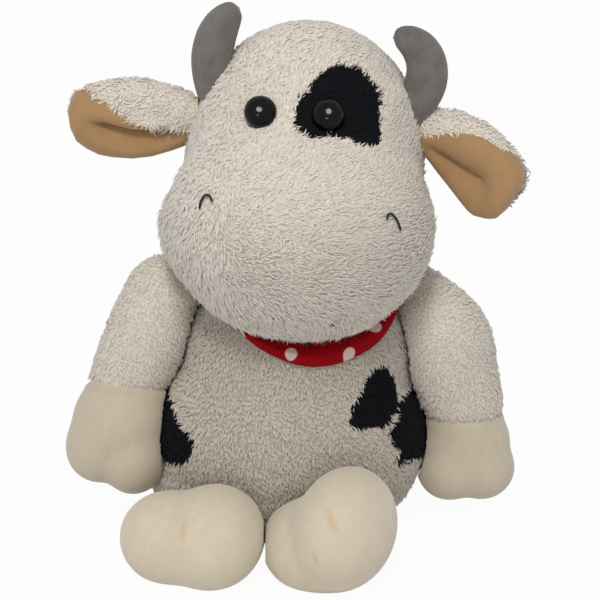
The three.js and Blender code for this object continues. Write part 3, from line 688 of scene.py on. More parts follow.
def patchHolds(form, patch, ways):
    # Which directions fall in a patch, whose outline is in millimetres about its middle
    middle = towards(*patch["middle"])
    across = unit(np.cross([0, 0, 1.0], middle))
    up = np.cross(middle, across)
    scale = form.radius(middle[None])[0]
    facing = ways @ middle
    x, y = scale * (ways @ across) / facing, scale * (ways @ up) / facing
    ring = np.array(patch["outline"], float)
    smooth = [
        curveAt(*(ring[(i + k) % len(ring)] for k in (-1, 0, 1, 2)), t)
        for i in range(len(ring)) for t in np.linspace(0, 1, 5)[:-1]
    ]
    inside = np.zeros(len(ways), bool)
    for (ax, ay), (bx, by) in zip(smooth, smooth[1:] + smooth[:1]):
        crosses = (ay > y) != (by > y)
        inside ^= crosses & (x < (bx - ax) * (y - ay) / (by - ay + 1e-12) + ax)
    return inside & (facing > 0.2)


def makeFill(name, form, body, neighbours=()):
    # The stuffing that fills a cover
    points, _ = skinOf(form, roughWays, roughFaces, -wallRoom, neighbours)
    finishPiece(makeMesh(name + "_fibre", points, roughFaces), fibrefill, body, "stuffing", name)


def waysTo(form, points):
    return unit(form.inwards(points) - form.centre)


# Torso: pile cover with let-in black patches
torsoLook = {
    "skin": -1.2, "spacing": 0.86, "row": 1.5,
    "rows": {"pitch": 1.75, "pull": 0.7, "wave": 1.1, "seed": 41},
    "swirl": {"amount": 0.5, "size": 9, "seed": 8, "stray": 0.4},
    # The roots keep this far from the floor, the head and the shoulder and hip joints, and from the cloth
    # in degrees. They may stand this deep in a foot
    "floorRoom": 1.2, "headRoom": 0.2, "armRoom": 15.5, "hipRoom": 13.5, "clothRoom": 2.5, "inFoot": 0.8,
    "upper": 58,  # the height at which the belly's pile ends and the chest's starts
    "pile": {
        "length": 2.7, "uneven": 0.22, "thick": 0.66, "lean": 55, "leanSpread": 9, "curl": 0.4, "sink": 0.25,
        "droop": 0.1, "round": 0.37,
    },
}
torsoPatches = {
    "left_chest_patch": {
        "middle": (50, 9),
        "outline": [
            (1, 14.5), (7, 13.4), (13.9, 4.9), (13.6, -2.7), (12, -5.5), (7.5, -7.9), (4, -10), (-2, -10.5),
            (-6, -10), (-13, -8), (-11, -1), (-6, 6),
        ],
    },
    "left_flank_patch": {
        "middle": (70, -8),
        "outline": [
            (27, 17), (16, 15.2), (7.3, 13.1), (-0.6, 11.9), (-5.6, 9.2), (-8, 6.5), (-7.6, 4.6),
            (-12.1, 3.6), (-15.2, 1.1), (-15.5, -4.1), (-10.6, -9.2), (-13.9, -12.2), (-12.6, -14.2),
            (-5.4, -13.7), (4, -15), (16, -13), (25, -5), (29, 8),
        ],
    },
    "right_flank_patch": {
        "middle": (-66, -5),
        "outline": [
            (15, -4), (9, -1), (-3, 6), (-11, 10), (-21, 12), (-25, 2), (-20, -10), (-8, -15), (6, -16),
            (14, -12),
        ],
    },
}
kerchiefLook = {
    "top": 27, "lift": 1.3, "thick": 0.7, "rim": 2.9,
    # The lower edge: a turn round the torso, and the angle down from straight above
    "edge": [
        (-180, 40), (-90, 38), (-60, 38.5), (-44, 41), (-28, 46), (-16, 49.6), (-3, 52.8), (8, 55.6),
        (20, 56.6), (30, 56.6), (40, 55.8), (52, 54.6), (62, 52), (73, 48.7), (90, 44), (120, 40), (180, 40),
    ],
    # The print: its width and depth over the map, where the map starts, the first dot, the two steps
    # between dots along and down the cloth, and their size, all in millimetres
    "print": (252.0, 45.35), "start": 18.1, "dot": (-0.1, 45.4), "steps": ((24.0, 3.7), (13.8, -6.2)),
    "dotSize": 5.3,
    # From near the rim's top to its lower edge: how far the cloth stands out
    "roll": [
        (0, 0.4), (0.3, 0.5), (0.55, 0.35), (0.68, 0), (0.76, 0.45), (0.86, 1), (0.94, 0.9), (0.985, 0.45),
        (1, 0.1),
    ],
    # Behind: the knot's lift, half length and half thicknesses, and each tail's length, width and spread
    "knot": (53.5, 8, 5, 3.8), "tail": (22, 11, 9),
    "tailWidths": [(0, 0.4), (0.3, 0.8), (0.65, 1), (0.9, 0.55), (1, 0.12)],
}


def kerchiefEdge(turn):
    around = np.linspace(-180, 180, 181)
    level = tableAt(kerchiefLook["edge"], around)
    level = np.convolve(np.concatenate([level[-5:-1], level, level[1:5]]), np.ones(9) / 9, "valid")
    return np.interp(turn, around, level)


def turnOf(ways):
    return np.degrees(np.arctan2(ways[:, 0], -ways[:, 1])), np.degrees(np.arccos(np.clip(ways[:, 2], -1, 1)))


def makeTorso():
    look = torsoLook
    points, normals = skinOf(torso, sphereWays, sphereFaces, look["skin"])
    faceWays = unit(sphereWays[sphereFaces].mean(1))
    plain = np.ones(len(sphereFaces), bool)
    groups = {}
    for name, patch in torsoPatches.items():
        groups[name] = patchHolds(torso, patch, faceWays) & plain
        plain &= ~groups[name]
    roots, rootNormals = scatter(points, normals, sphereFaces, look["spacing"], look["row"])
    roots = intoRows(roots, rootNormals, (0.05, 0, 1), look["rows"])
    ways = waysTo(torso, roots)
    turn, polar = turnOf(ways)
    free = roots[:, 2] > look["floorRoom"]
    free &= polar > kerchiefEdge(turn) - look["clothRoom"]
    free &= head.depth(roots) < -look["headRoom"]
    for name in sides:
        free &= np.linalg.norm(roots - shoulders[name], axis=1) > look["armRoom"]
        free &= np.linalg.norm(roots - hips[name], axis=1) > look["hipRoom"]
        free &= feet[name].depth(roots) < look["inFoot"]
    roots, rootNormals, ways = roots[free], rootNormals[free], ways[free]
    flow = laid(roots, rootNormals, [0.25, 0, -1.0], look["swirl"])
    strands = strandsAt(roots, rootNormals, flow)
    inPatch = np.zeros(len(roots), bool)
    for name, patch in torsoPatches.items():
        mask = patchHolds(torso, patch, ways) & ~inPatch
        inPatch |= mask
        black = [part[mask] for part in strands]
        patchPiece(name, points, sphereFaces[groups[name]], black, look["pile"], "torso")
    rest = sphereFaces[plain]
    # The torso takes the darkened ground and pile: painted shade under the head and between the arms
    skin = skinPiece("torso_ground", points, rest, bodyShadedGround, "torso", "cream_pile", "torso_cover")
    makeFill("torso_stuffing", torso, "torso")
    front, upper, right = roots[:, 1] < 0, roots[:, 2] > look["upper"], roots[:, 0] < 1
    panels = {
        "belly_pile": front & ~upper & ~inPatch,
        "chest_pile": front & upper & ~inPatch,
        "right_back_pile": ~front & right & ~inPatch,
        "left_back_pile": ~front & ~right & ~inPatch,
    }
    growPanels(panels, strands, look["pile"], bodyShadedPile, "torso", "cream_pile")


# Feet: velour, pressed flat by the floor and by each other
footLook = {
    # The two toe lobes of each foot: their middles and radii, from the hip joint
    "toes": {
        "right": [((-10.5, -32.5, -6), (21, 19.5, 19.4)), ((8.5, -31.2, -2.8), (20.5, 24, 21.2))],
        "left": [((-3.4, -31, -8), (23.4, 24, 20.1)), ((9.9, -35.5, 4), (20, 28, 24))],
    },
    "turned": -20, "parting": -10, "partingRoom": 0.25, "hip": 9.5, "bodyRoom": 1.0,
}


def footForm(name):
    ball = ((0, 0, 0), (footLook["hip"],) * 3)
    return StuffedForm(
        (0, -26.4, 0), [ball, *footLook["toes"][name]], 3, floor=-hips[name][2],
        turned=turning((0, 0, 1), footLook["turned"]), moved=hips[name],
    )


feet = {name: footForm(name) for name in sides}


def makeFoot(name):
    form, side, hip = feet[name], sides[name], hips[name]
    belly = sweptDepth(torso, hip, (-1, 0, 0), sweeps["leg"], footLook["bodyRoom"])
    beside = lambda points: side * (footLook["parting"] - points[:, 0]) + footLook["partingRoom"]
    centre = form.outwards(form.centre)
    directions = sphereWays @ form.turned.T
    radii = form.radius(sphereWays)
    radii = pressed(centre, directions, radii, [belly, beside], soften=2.0)
    # The ball at the hip stays whole where the rest is pressed in
    ball = reach(((0, 0, 0), (footLook["hip"] - 1,) * 3), form.centre, sphereWays)
    radii = softMax([radii, np.where(ball > 0, ball, 0)], 1.0)
    points = centre + directions * radii[:, None]
    points[:, 2] = np.maximum(points[:, 2], 0.05)
    foot = makeMesh(f"{name}_foot_velour", points, sphereFaces)
    finishPiece(foot, footVelour, f"{name}_leg", "cream_velour", f"{name}_foot")
    inward = [lambda points: belly(points) + wallRoom, lambda points: beside(points) + wallRoom]
    makeFill(f"{name}_foot_stuffing", form, f"{name}_leg", inward)


# Arms: a pile sleeve and a velour hand
armLook = {
    "sleeve": {"right": 41.3, "left": 54.5}, "swing": {"right": -9, "left": -5},
    "cuffTilt": {"right": 15, "left": -13.4}, "spacing": 0.82, "ground": 1.1, "row": 1.3,
    "rows": {"pitch": 1.6, "pull": 0.65, "wave": 1.0, "seed": 51},
    "swirl": {"amount": 0.6, "size": 7, "seed": 9, "stray": 0.45},
    # How far the sleeve, the hand and the roots keep from the body that the arm swings past, from the body
    # and the head at rest, and from the cuff
    "sleeveRoom": 0.8, "handRoom": 0.6, "rootRoom": 0.9, "bodyRoom": 0.3, "cuffRoom": 0.7,
    # Down the sleeve: height from the shoulder joint, and how far it reaches outwards and inwards
    "profile": {
        "right": [
            (17.4, 0, 0), (16.5, 5, 5), (14, 10.2, 9.5), (10, 14, 12.6), (5, 16.7, 14.8), (0, 17.5, 15),
            (-6, 18.6, 15.6), (-12, 19.5, 16.4), (-24, 20.1, 17), (-36, 20.0, 15.6), (-41.3, 18.6, 14.2),
        ],
        "left": [
            (13, 0, 0), (12.2, 3, 5), (9.7, 5.6, 9), (5.3, 9.2, 12.5), (0, 13.5, 15), (-6, 17.8, 16.4),
            (-13, 21.2, 17.4), (-21, 22.6, 18), (-32, 21.8, 17.8), (-48, 20.2, 15.8), (-54.5, 18.4, 14.6),
        ],
    },
    # The lobes of each hand, from the shoulder joint: the cuff, the palm and two tips
    "hand": {
        "right": [
            ((-2.2, -1.5, -43.3), (17.2, 15.5, 15)), ((-0.4, -4, -56.8), (20.6, 17.5, 20.4)),
            ((-5.2, -3, -70.3), (15.1, 15, 16.3)), ((10.4, -5, -69.8), (14.2, 16, 16.3)),
        ],
        "left": [
            ((1.8, 0, -56.5), (16.4, 14, 15)), ((-0.5, 0, -68), (19.4, 14.5, 17.2)),
            ((-10.1, -1, -77.5), (13.9, 14, 13.7)), ((3.8, 0, -81.2), (14.1, 14, 13.7)),
        ],
    },
    "pile": {
        "length": 2.4, "uneven": 0.2, "thick": 0.66, "lean": 61, "leanSpread": 8, "curl": 0.38, "sink": 0.3,
        "droop": 0.1, "round": 0.28,
    },
}


def armPlace(name):
    turned = turning((1, 0, 0), armLook["swing"][name]) @ turning((0, 1, 0), -sides[name] * splay[name])
    return turned, shoulders[name]


def cuffHeight(name, x):
    # The seam between sleeve and hand runs level, so it is tilted across the arm
    return -armLook["sleeve"][name] + x * math.tan(math.radians(armLook["cuffTilt"][name]))


def armNeighbours(name, clearance):
    swing = (0, 1, 0) if name == "right" else (0, -1, 0)
    return [sweptDepth(torso, shoulders[name], swing, sweeps["arm"], clearance)]


def sleeveRings(name, rows, columns):
    # The sleeve's points and the middles of its rings, from the shoulder joint
    table = smoothThrough(armLook["profile"][name], 12)
    walk = np.concatenate([[0], np.cumsum(np.linalg.norm(np.diff(table, axis=0), axis=1))])
    marks = np.linspace(0, walk[-1], rows)
    heights, outwards, inwards = (np.interp(marks, walk, table[:, i]) for i in range(3))
    shift = sides[name] * (outwards - inwards)[:, None] / 2
    widths = np.maximum((outwards + inwards) / 2 - armLook["ground"], 0.02)
    widths[-2:] -= (0.5, 1.6)  # the rim turns in at the cuff
    angles = angleSteps(columns)
    depthShare = 1 - 0.14 * np.clip(-heights / armLook["sleeve"][name], 0, 1)
    x, y = widths[:, None] * np.cos(angles), widths[:, None] * np.sin(angles) * depthShare[:, None]
    heights = heights[:, None]
    stretch = cuffHeight(name, shift + x) / -armLook["sleeve"][name]
    levels = np.where(heights < 0, heights * stretch, heights)
    local = np.stack([shift + x, y, levels], -1).reshape(-1, 3)
    middle = np.stack([shift + 0 * x, 0 * x, levels], -1).reshape(-1, 3)
    return local, middle, np.repeat(heights[:, 0], columns) < 2


def makeSleeve(name):
    turned, shoulder = armPlace(name)
    rows, columns = 96, 96
    local, middle, low = sleeveRings(name, rows, columns)
    points, middle = local @ turned.T + shoulder, middle @ turned.T + shoulder
    far = np.maximum(np.linalg.norm(points - middle, axis=1), 1e-3)
    directions = (points - middle) / far[:, None]
    neighbours = armNeighbours(name, armLook["sleeveRoom"])
    far[low] = pressed(middle[low], directions[low], far[low], neighbours, soften=1.0)
    points = middle + directions * far[:, None]
    faces = gridFaces(rows, columns)[:, ::-1]
    normals = pointNormals(points, faces)
    sleeve = makeMesh(f"{name}_sleeve_ground", points, faces)
    finishPiece(sleeve, creamGround, f"{name}_arm", "cream_pile", f"{name}_sleeve")
    roots, rootNormals = scatter(points, normals, faces, armLook["spacing"], armLook["row"])
    roots = intoRows(roots, rootNormals, turned @ [0.1, 0, 1], armLook["rows"])
    local = (roots - shoulder) @ turned
    free = local[:, 2] > cuffHeight(name, local[:, 0]) + armLook["cuffRoom"]
    free &= neighbours[0](roots) < -armLook["rootRoom"]
    free |= local[:, 2] > 0
    for form in (torso, head):
        free &= form.depth(roots) < -armLook["bodyRoom"]
    roots, rootNormals = roots[free], rootNormals[free]
    flow = laid(roots, rootNormals, [0.35, 0, -1.0], armLook["swirl"])
    strands = strandsAt(roots, rootNormals, flow)
    growPile(f"{name}_sleeve_pile", strands, armLook["pile"], creamPile, f"{name}_arm", "cream_pile")


def handForm(name):
    turned, shoulder = armPlace(name)
    lobes = armLook["hand"][name]
    return StuffedForm((0, 0, lobes[1][0][2] - 4), lobes, 1.8, turned=turned, moved=shoulder)


def makeHand(name):
    form = handForm(name)
    neighbours = armNeighbours(name, armLook["handRoom"])
    points, _ = skinOf(form, fineWays, fineFaces, 0.0, neighbours)
    local = form.inwards(points)
    # Inside the sleeve it is narrower
    above = smoothStep(-1.5, 2.5, local[:, 2] - cuffHeight(name, local[:, 0]))
    middle = np.array([armLook["hand"][name][0][0][0], 0])
    local[:, :2] -= (local[:, :2] - middle) * (0.14 * above)[:, None]
    inward = [lambda points: neighbours[0](points) + wallRoom]
    makeFill(f"{name}_arm_stuffing", form, f"{name}_arm", inward)
    hand = makeMesh(f"{name}_hand_velour", form.outwards(local), fineFaces)
    finishPiece(hand, handShadedVelour, f"{name}_arm", "cream_velour", f"{name}_hand")


makeTorso()
for name in sides:
    makeFoot(name)
    makeSleeve(name)
    makeHand(name)
print("body and limbs made")


# Head: pile cover, with a let-in black patch round its left eye
headLook = {
    "skin": -1.5, "spacing": 0.8, "row": 1.5, "muzzleTop": 46, "front": -8,
    "rows": {"pitch": 1.7, "pull": 0.6, "wave": 1.3, "seed": 61},
    "swirl": {"amount": 0.42, "size": 11, "seed": 21, "stray": 0.32},
    # The roots keep this far from each eye's axis, down to this depth, from the threads and from the body
    "eyeRoom": 4.7, "eyeDeep": 15, "nostrilRoom": 1.15, "mouthRoom": 0.85, "rootRoom": 0.6,
    "bodyRoom": 1.2,  # the skin's own room from the body
    "pile": {
        "length": 3.5, "uneven": 0.22, "thick": 0.66, "lean": 67, "leanSpread": 7, "curl": 0.4, "sink": 0.35,
        "droop": 0.1, "round": 0.24,
    },
    "patch": {
        "middle": (26, 59),
        "outline": [
            (-2, 14), (6, 14), (12, 11), (17, 5), (18, -4), (19, -10), (15, -18), (4, -17), (-5, -12),
            (-17, -10), (-22, -3), (-20, 3), (-13, 9),
        ],
    },
    # Places on the face: a turn round from the front, and a lift, in degrees
    "eyes": {"right": (-42, 51), "left": (14.4, 56)},
    "nostrils": {
        "right": [(-45.4, 0.8), (-45.7, 4.0), (-44.5, 6.6), (-42.4, 7.0), (-40.0, 5.0)],
        "left": [(35.6, 4.6), (36.5, 6.4), (38.3, 6.6), (40.3, 4.4), (41.4, 2.0), (42.1, -0.4)],
    },
    "mouth": [(-15, -42.4), (-6, -43.6), (4, -44.8), (14, -44.2), (20, -43.6), (27, -43.8)],
    # The mouth's thread lies under the pile but for a stretch about one of its marks
    "mouthShown": (26, 32), "mouthDeep": -1.7, "mouthRise": 1.3, "mouthMark": 28.5, "mouthSpread": 2.6,
    "nostrilThread": 0.95, "nostrilLift": 0.35, "mouthThread": 1.1,
}


def eyeSeat(name):
    way = towards(*headLook["eyes"][name])
    return head.surface(way), head.normals(way[None])[0] @ head.turned.T


eyeSeats = {name: eyeSeat(name) for name in sides}


def stitchPath(marks):
    return towards(*smoothThrough(marks, 8).T)


def headFlow(points, normals):
    # The way the pile lies, as a heading in the face's plane that turns gradually from place to place
    local = head.inwards(points)
    x, z = local[:, 0], local[:, 2]
    heading = 20 + 32 * smoothStep(48, 68, z) - 40 * (1 - smoothStep(8, 22, z))
    cheek = 1 - smoothStep(-46, -16, x)
    heading = heading * (1 - cheek) - 112 * cheek
    under = np.maximum(1 - smoothStep(-4, 9, z), smoothStep(-5, 22, local[:, 1]))
    heading = np.radians(heading * (1 - under) - 88 * under)
    field = np.stack([np.cos(heading), 0 * x, np.sin(heading)], 1)
    return laid(points, normals, field, headLook["swirl"])


stitches = {f"{name}_nostril": stitchPath(headLook["nostrils"][name]) for name in sides}
stitches["mouth"] = stitchPath(headLook["mouth"])
# Where the pile parts over the thread, and how far
stitchGaps = [(stitches[f"{name}_nostril"], headLook["nostrilRoom"]) for name in sides]
stitchGaps.append((stitches["mouth"][slice(*headLook["mouthShown"])], headLook["mouthRoom"]))


def headRoots(points, normals, deepInBody):
    # Where strands stand: clear of the body, the eyes, the stitches and the horns
    look = headLook
    roots, rootNormals = scatter(points, normals, sphereFaces, look["spacing"], look["row"])
    roots = intoRows(roots, rootNormals, head.turned @ [-0.3, 0, 1], look["rows"])
    free = deepInBody(roots) < -look["rootRoom"]
    for seat, normal in eyeSeats.values():
        offset = roots - seat
        along = offset @ normal
        aside = np.linalg.norm(offset - along[:, None] * normal, axis=1)
        free &= (aside > look["eyeRoom"]) | (along < -look["eyeDeep"])
    for path, gap in stitchGaps:
        marks = head.surface(path)
        free &= np.min(np.linalg.norm(roots[:, None] - marks[None], axis=2), axis=1) > gap
    for name, side in sides.items():
        offset = head.inwards(roots) - [side * hornLook["side"][name], hornLook["forward"], 0]
        beside = np.hypot(offset[:, 0], offset[:, 1])
        free &= (beside >= hornLook["room"]) | (roots[:, 2] <= hornLook["above"])
    return roots[free], rootNormals[free]


def makeHead():
    look = headLook
    nod = sweptDepth(torso, neck, (-1, 0, 0), sweeps["head"], look["bodyRoom"])
    points, normals = skinOf(head, sphereWays, sphereFaces, look["skin"], [nod])
    patch = patchHolds(head, look["patch"], unit(sphereWays[sphereFaces].mean(1)))
    roots, rootNormals = headRoots(points, normals, nod)
    local = head.inwards(roots)
    x, z = local[:, 0], local[:, 2]
    # Short on the brow, longer on the cheeks, and longest under the chin
    lengths = 0.84 + 0.2 * (1 - smoothStep(30, 58, z)) + 0.3 * (1 - smoothStep(-4, 12, z))
    lengths += 0.25 * (1 - smoothStep(-54, -42, x)) * (1 - smoothStep(30, 50, z))
    strands = strandsAt(roots, rootNormals, headFlow(roots, rootNormals), lengths)
    inPatch = patchHolds(head, look["patch"], waysTo(head, roots))
    black = [part[inPatch] for part in strands]
    black[-1] = np.ones(inPatch.sum())  # the patch's strands all have the full length
    patchPiece("eye_patch", points, sphereFaces[patch], black, look["pile"], "head")
    rest = sphereFaces[~patch]
    skin = skinPiece("head_ground", points, rest, creamGround, "head", "cream_pile", "head_cover")
    makeFill("head_stuffing", head, "head", [lambda points: nod(points) + wallRoom])
    front, low, right = local[:, 1] < look["front"], z <= look["muzzleTop"], x < 0
    panels = {
        "muzzle_right_pile": front & low & right & ~inPatch,
        "muzzle_left_pile": front & low & ~right & ~inPatch,
        "brow_pile": front & ~low & ~inPatch,
        "nape_right_pile": ~front & right & ~inPatch,
        "nape_left_pile": ~front & ~right & ~inPatch,
    }
    growPanels(panels, strands, look["pile"], creamPile, "head", "cream_pile")


def tubeMesh(path, radii, columns=12, flat=1.0, across=None):
    # A closed tube along a path, its ends rounded off by the first and last radius
    path = np.asarray(path, float)
    heading = unit(np.gradient(path, axis=0))
    if across is None:
        across = np.cross(heading, [0.3, 1, 0.2])
    across = unit(np.broadcast_to(across, path.shape))
    over = unit(np.cross(heading, across))
    across = np.cross(over, heading)
    angles = angleSteps(columns)
    ring = across[:, None] * np.cos(angles)[:, None] + over[:, None] * np.sin(angles)[:, None] * flat
    points = (path[:, None] + ring * np.asarray(radii)[:, None, None]).reshape(-1, 3)
    return points, gridFaces(len(path), columns)


def threadPiece(name, path, width, node):
    radii = np.full(len(path), width / 2)
    radii[0] = radii[-1] = 0.02
    points, faces = tubeMesh(path, radii, 10)
    finishPiece(makeMesh(name, points, faces), blackThread, "head", "black_thread", node)


def mouthLift():
    away = (np.arange(len(stitches["mouth"])) - headLook["mouthMark"]) / headLook["mouthSpread"]
    return headLook["mouthDeep"] + headLook["mouthRise"] * np.exp(-(away**2))


# Eyes: domes on the pile
eyeLook = {
    "radius": 6.45, "height": 5.2, "roundness": 0.8, "sink": -0.2, "skirt": 4.0,
    "facing": {"right": (0, 35), "left": (-8, 31)},
}


def makeEye(name):
    look = eyeLook
    seat, normal = eyeSeats[name][0], towards(*look["facing"][name])
    across = unit(np.cross(normal, [0.2, 0.1, 1]))
    up = np.cross(across, normal)
    t = np.linspace(0, math.pi / 2, 40)
    radii = np.maximum(look["radius"] * np.cos(t) ** look["roundness"], 0.01)
    radii = np.concatenate([[0.02, look["radius"] * 0.9, look["radius"] * 0.99], radii])
    skirt = look["skirt"]
    lifts = look["height"] * np.sin(t) ** look["roundness"] - look["sink"]
    lifts = np.concatenate([[-skirt, -skirt, 0.6 - skirt], lifts])
    angles = angleSteps(64)
    ring = across * np.cos(angles)[:, None] + up * np.sin(angles)[:, None]
    points = seat + ring[None] * radii[:, None, None] + normal * lifts[:, None, None]
    dome = makeMesh(f"{name}_eye_dome", points.reshape(-1, 3), gridFaces(len(radii), len(angles)))
    finishPiece(dome, eyePlastic, "head", "eye_plastic", f"{name}_eye")


# Horns: stuffed suede cones, curled outwards
hornLook = {
    "length": 37, "straight": {"right": 1.3, "left": 6}, "lean": {"right": 21, "left": 35},
    "curl": {"right": 73, "left": 134}, "back": 8, "side": {"right": 40.5, "left": 42.8},
    "forward": -8, "flat": 0.82, "columns": 64, "seam": 0.45,
    # Strands keep this far from a horn's middle, above this height
    "room": 7.5, "above": 175,
    "widths": [
        (0, 17.4), (0.4, 17.4), (0.6, 16.6), (0.75, 14.8), (0.86, 12.3), (0.93, 9.7), (0.975, 6.7), (1, 0.05),
    ],
}


def hornRoot(name):
    # Where a line straight up meets the head
    start = np.array([sides[name] * hornLook["side"][name], hornLook["forward"], 52.5])
    column = start + np.linspace(0, 40, 200)[:, None] * [0, 0, 1.0]
    offset = column - head.centre
    far = np.linalg.norm(offset, axis=1)
    return column[np.argmax(far > head.radius(offset / far[:, None]))]


def makeHorn(name):
    look, columns = hornLook, hornLook["columns"]
    steps = np.linspace(0, 1, 60)
    length = look["length"] + look["straight"][name]
    bent = np.clip((steps * length - look["straight"][name]) / look["length"], 0, 1) ** 1.3
    angle = np.radians(sides[name] * (look["lean"][name] - look["curl"][name] * bent))
    heading = np.stack([np.sin(angle), 0 * steps, np.cos(angle)], 1)
    walked = np.cumsum((heading[1:] + heading[:-1]) / 2 * (length / (len(steps) - 1)), 0)
    path = hornRoot(name) - heading[0] * look["back"] + np.vstack([np.zeros(3), walked])
    widths = tableAt(look["widths"], steps)
    across = np.cross([0, 1.0, 0], heading)
    # One more ring closes the root
    path, across = np.vstack([path[:1], path]), np.vstack([across[:1], across])
    widths = np.concatenate([[0.05], widths])
    points, faces = tubeMesh(path, widths / 2, columns, look["flat"], across)
    # A seam runs up the front and the back
    half = columns // 2
    fromSeam = np.abs(((np.arange(len(points)) % columns) + half // 2) % half - half // 2)
    dent = np.exp(-((fromSeam / 1.2) ** 2)) * look["seam"]
    points = head.outwards(points - unit(points - np.repeat(path, columns, 0)) * dent[:, None])
    horn = makeMesh(f"{name}_horn_suede", points, faces)
    finishPiece(horn, greySuede, "head", "grey_suede", f"{name}_horn")


# Ears: a folded leaf, pile outside and velour inside
earLook = {
    "length": {"right": 53.8, "left": 51}, "droop": {"right": 2, "left": 19},
    "forward": {"right": 0, "left": 30}, "side": 45, "back": -5, "up": {"right": 66, "left": 68},
    "spacing": 0.92, "row": 1.3, "swirl": {"amount": 0.9, "size": 8, "seed": 31, "stray": 0.5},
    # The pile's ground lies this much deeper than the lining, which reaches round to the seam's angle
    "deeper": 0.6, "seamAngle": 268,
    # Strands stop before the tip, behind and in front, keep off the seam and turn back round the tip
    "ends": (0.985, 0.94), "seam": 8, "rimFrom": 0.76,
    # Half thickness in front and behind, and half height above the middle, which rises towards the root
    "front": 9.6, "behind": 11.6, "high": 12.6, "rise": {"right": 0.35, "left": 0.66},
    # Half height below the middle, by the share of the length
    "low": {
        "right": [(0, 18.9), (1, 18.9)],
        "left": [(0, 10), (0.2, 10), (0.35, 11), (0.5, 13), (0.65, 16), (0.8, 20), (0.9, 22), (1, 23)],
    },
    # The fold: where it runs round the section, its width and depth, and where it starts and ends
    "fold": {
        "right": {
            "at": [(0, 212), (0.5, 207), (0.87, 192), (1, 190)], "wide": 0.16, "deep": 0.62,
            "ends": (0.05, 0.87),
        },
        "left": {
            "at": [(0, 207), (0.5, 205), (0.87, 200), (1, 190)], "wide": 0.38, "deep": 0.6,
            "ends": (0.1, 0.86),
        },
    },
    # Where the pile laps over the lining, in degrees round the section
    "edge": {
        "right": [(0, 209), (0.3, 194), (0.5, 180), (0.67, 154), (0.74, 145), (0.86, 105), (1, 90)],
        "left": [(0, 176), (0.2, 165), (0.4, 145), (0.53, 133), (0.7, 128), (0.84, 96), (0.92, 62), (1, 40)],
    },
    "sizes": [
        (0, 0.5), (0.1, 0.66), (0.2, 0.78), (0.35, 0.93), (0.5, 1), (0.65, 0.99), (0.75, 0.95), (0.85, 0.82),
        (0.92, 0.68), (0.97, 0.48), (1, 0.05),
    ],
    "tip": [(0, 1), (0.93, 1), (0.97, 0.85), (0.99, 0.55), (1, 0.01)],
    "pile": {
        "length": 2.8, "uneven": 0.3, "thick": 0.66, "lean": 62, "leanSpread": 10, "curl": 0.5, "sink": 0.35,
        "droop": 0.2, "round": 0.28,
    },
}


def earSection(name, share, degrees):
    # Across and up from the ear's middle line, at each share of its length
    fold, share = earLook["fold"][name], share[:, None]
    along = lambda table: tableAt(table, share)
    size, end, a = along(earLook["sizes"]), along(earLook["tip"]), np.radians(degrees)
    thick = np.where(np.cos(a) < 0, earLook["front"], earLook["behind"])
    high = earLook["high"] * (1 + earLook["rise"][name] * (1 - share))
    height = np.where(np.sin(a) > 0, high, along(earLook["low"][name]))
    away = np.radians((degrees - along(fold["at"]) + 180) % 360 - 180)
    start, stop = fold["ends"]
    fade = smoothStep(start, start + 0.25, share) * (1 - smoothStep(stop - 0.2, stop, share))
    notch = 1 - fold["deep"] * fade * np.exp(-((away / fold["wide"]) ** 2))
    beside = np.abs(away) - fold["wide"] * 2.4
    swell = 1 + 0.10 * fade * np.exp(-(beside**2) / (fold["wide"] * 0.9) ** 2)
    y = np.cos(a) * thick * (0.35 + 0.65 * size) * end
    z = np.sin(a) * height * size * np.maximum(end, 0.3)
    return y * notch * swell, z * notch * swell


def earPlace(name):
    side = sides[name]
    droop, forward = side * earLook["droop"][name], -side * earLook["forward"][name]
    turned = turning((0, 1, 0), droop) @ turning((0, 0, 1), forward)
    return turned, np.array([side * earLook["side"], earLook["back"], earLook["up"][name]])


def earPile(name, points, normals, faces):
    # Strands on the outside of an ear, clear of the head and of the seam under it
    look, side = earLook, sides[name]
    turned, shift = earPlace(name)
    roots, rootNormals = scatter(points, normals, faces, look["spacing"], look["row"])
    local = (head.inwards(roots) - shift) @ turned
    far = np.abs(local[:, 0]) / look["length"][name]
    seam = (local[:, 2] < -look["seam"] * tableAt(look["sizes"], far)) & (local[:, 1] < 5)
    free = (head.depth(roots) < -0.5) & ~seam & (far < np.where(local[:, 1] > 1, *look["ends"]))
    roots, rootNormals, local, far = roots[free], rootNormals[free], local[free], far[free]
    field = np.tile([side * 0.75, 0, -0.55], (len(roots), 1))
    # Round the tip the strands point back, so that none stands over the lining
    rim = (far > look["rimFrom"]) & (local[:, 2] < 5)
    field[rim] = [-side * 0.9, 0, 0.8]
    flow = laid(roots, rootNormals, field, look["swirl"], np.where(rim, 0.3, 1))
    strands = strandsAt(roots, rootNormals, flow)
    growPile(f"{name}_ear_pile", strands, look["pile"], creamPile, f"{name}_ear", "cream_pile")


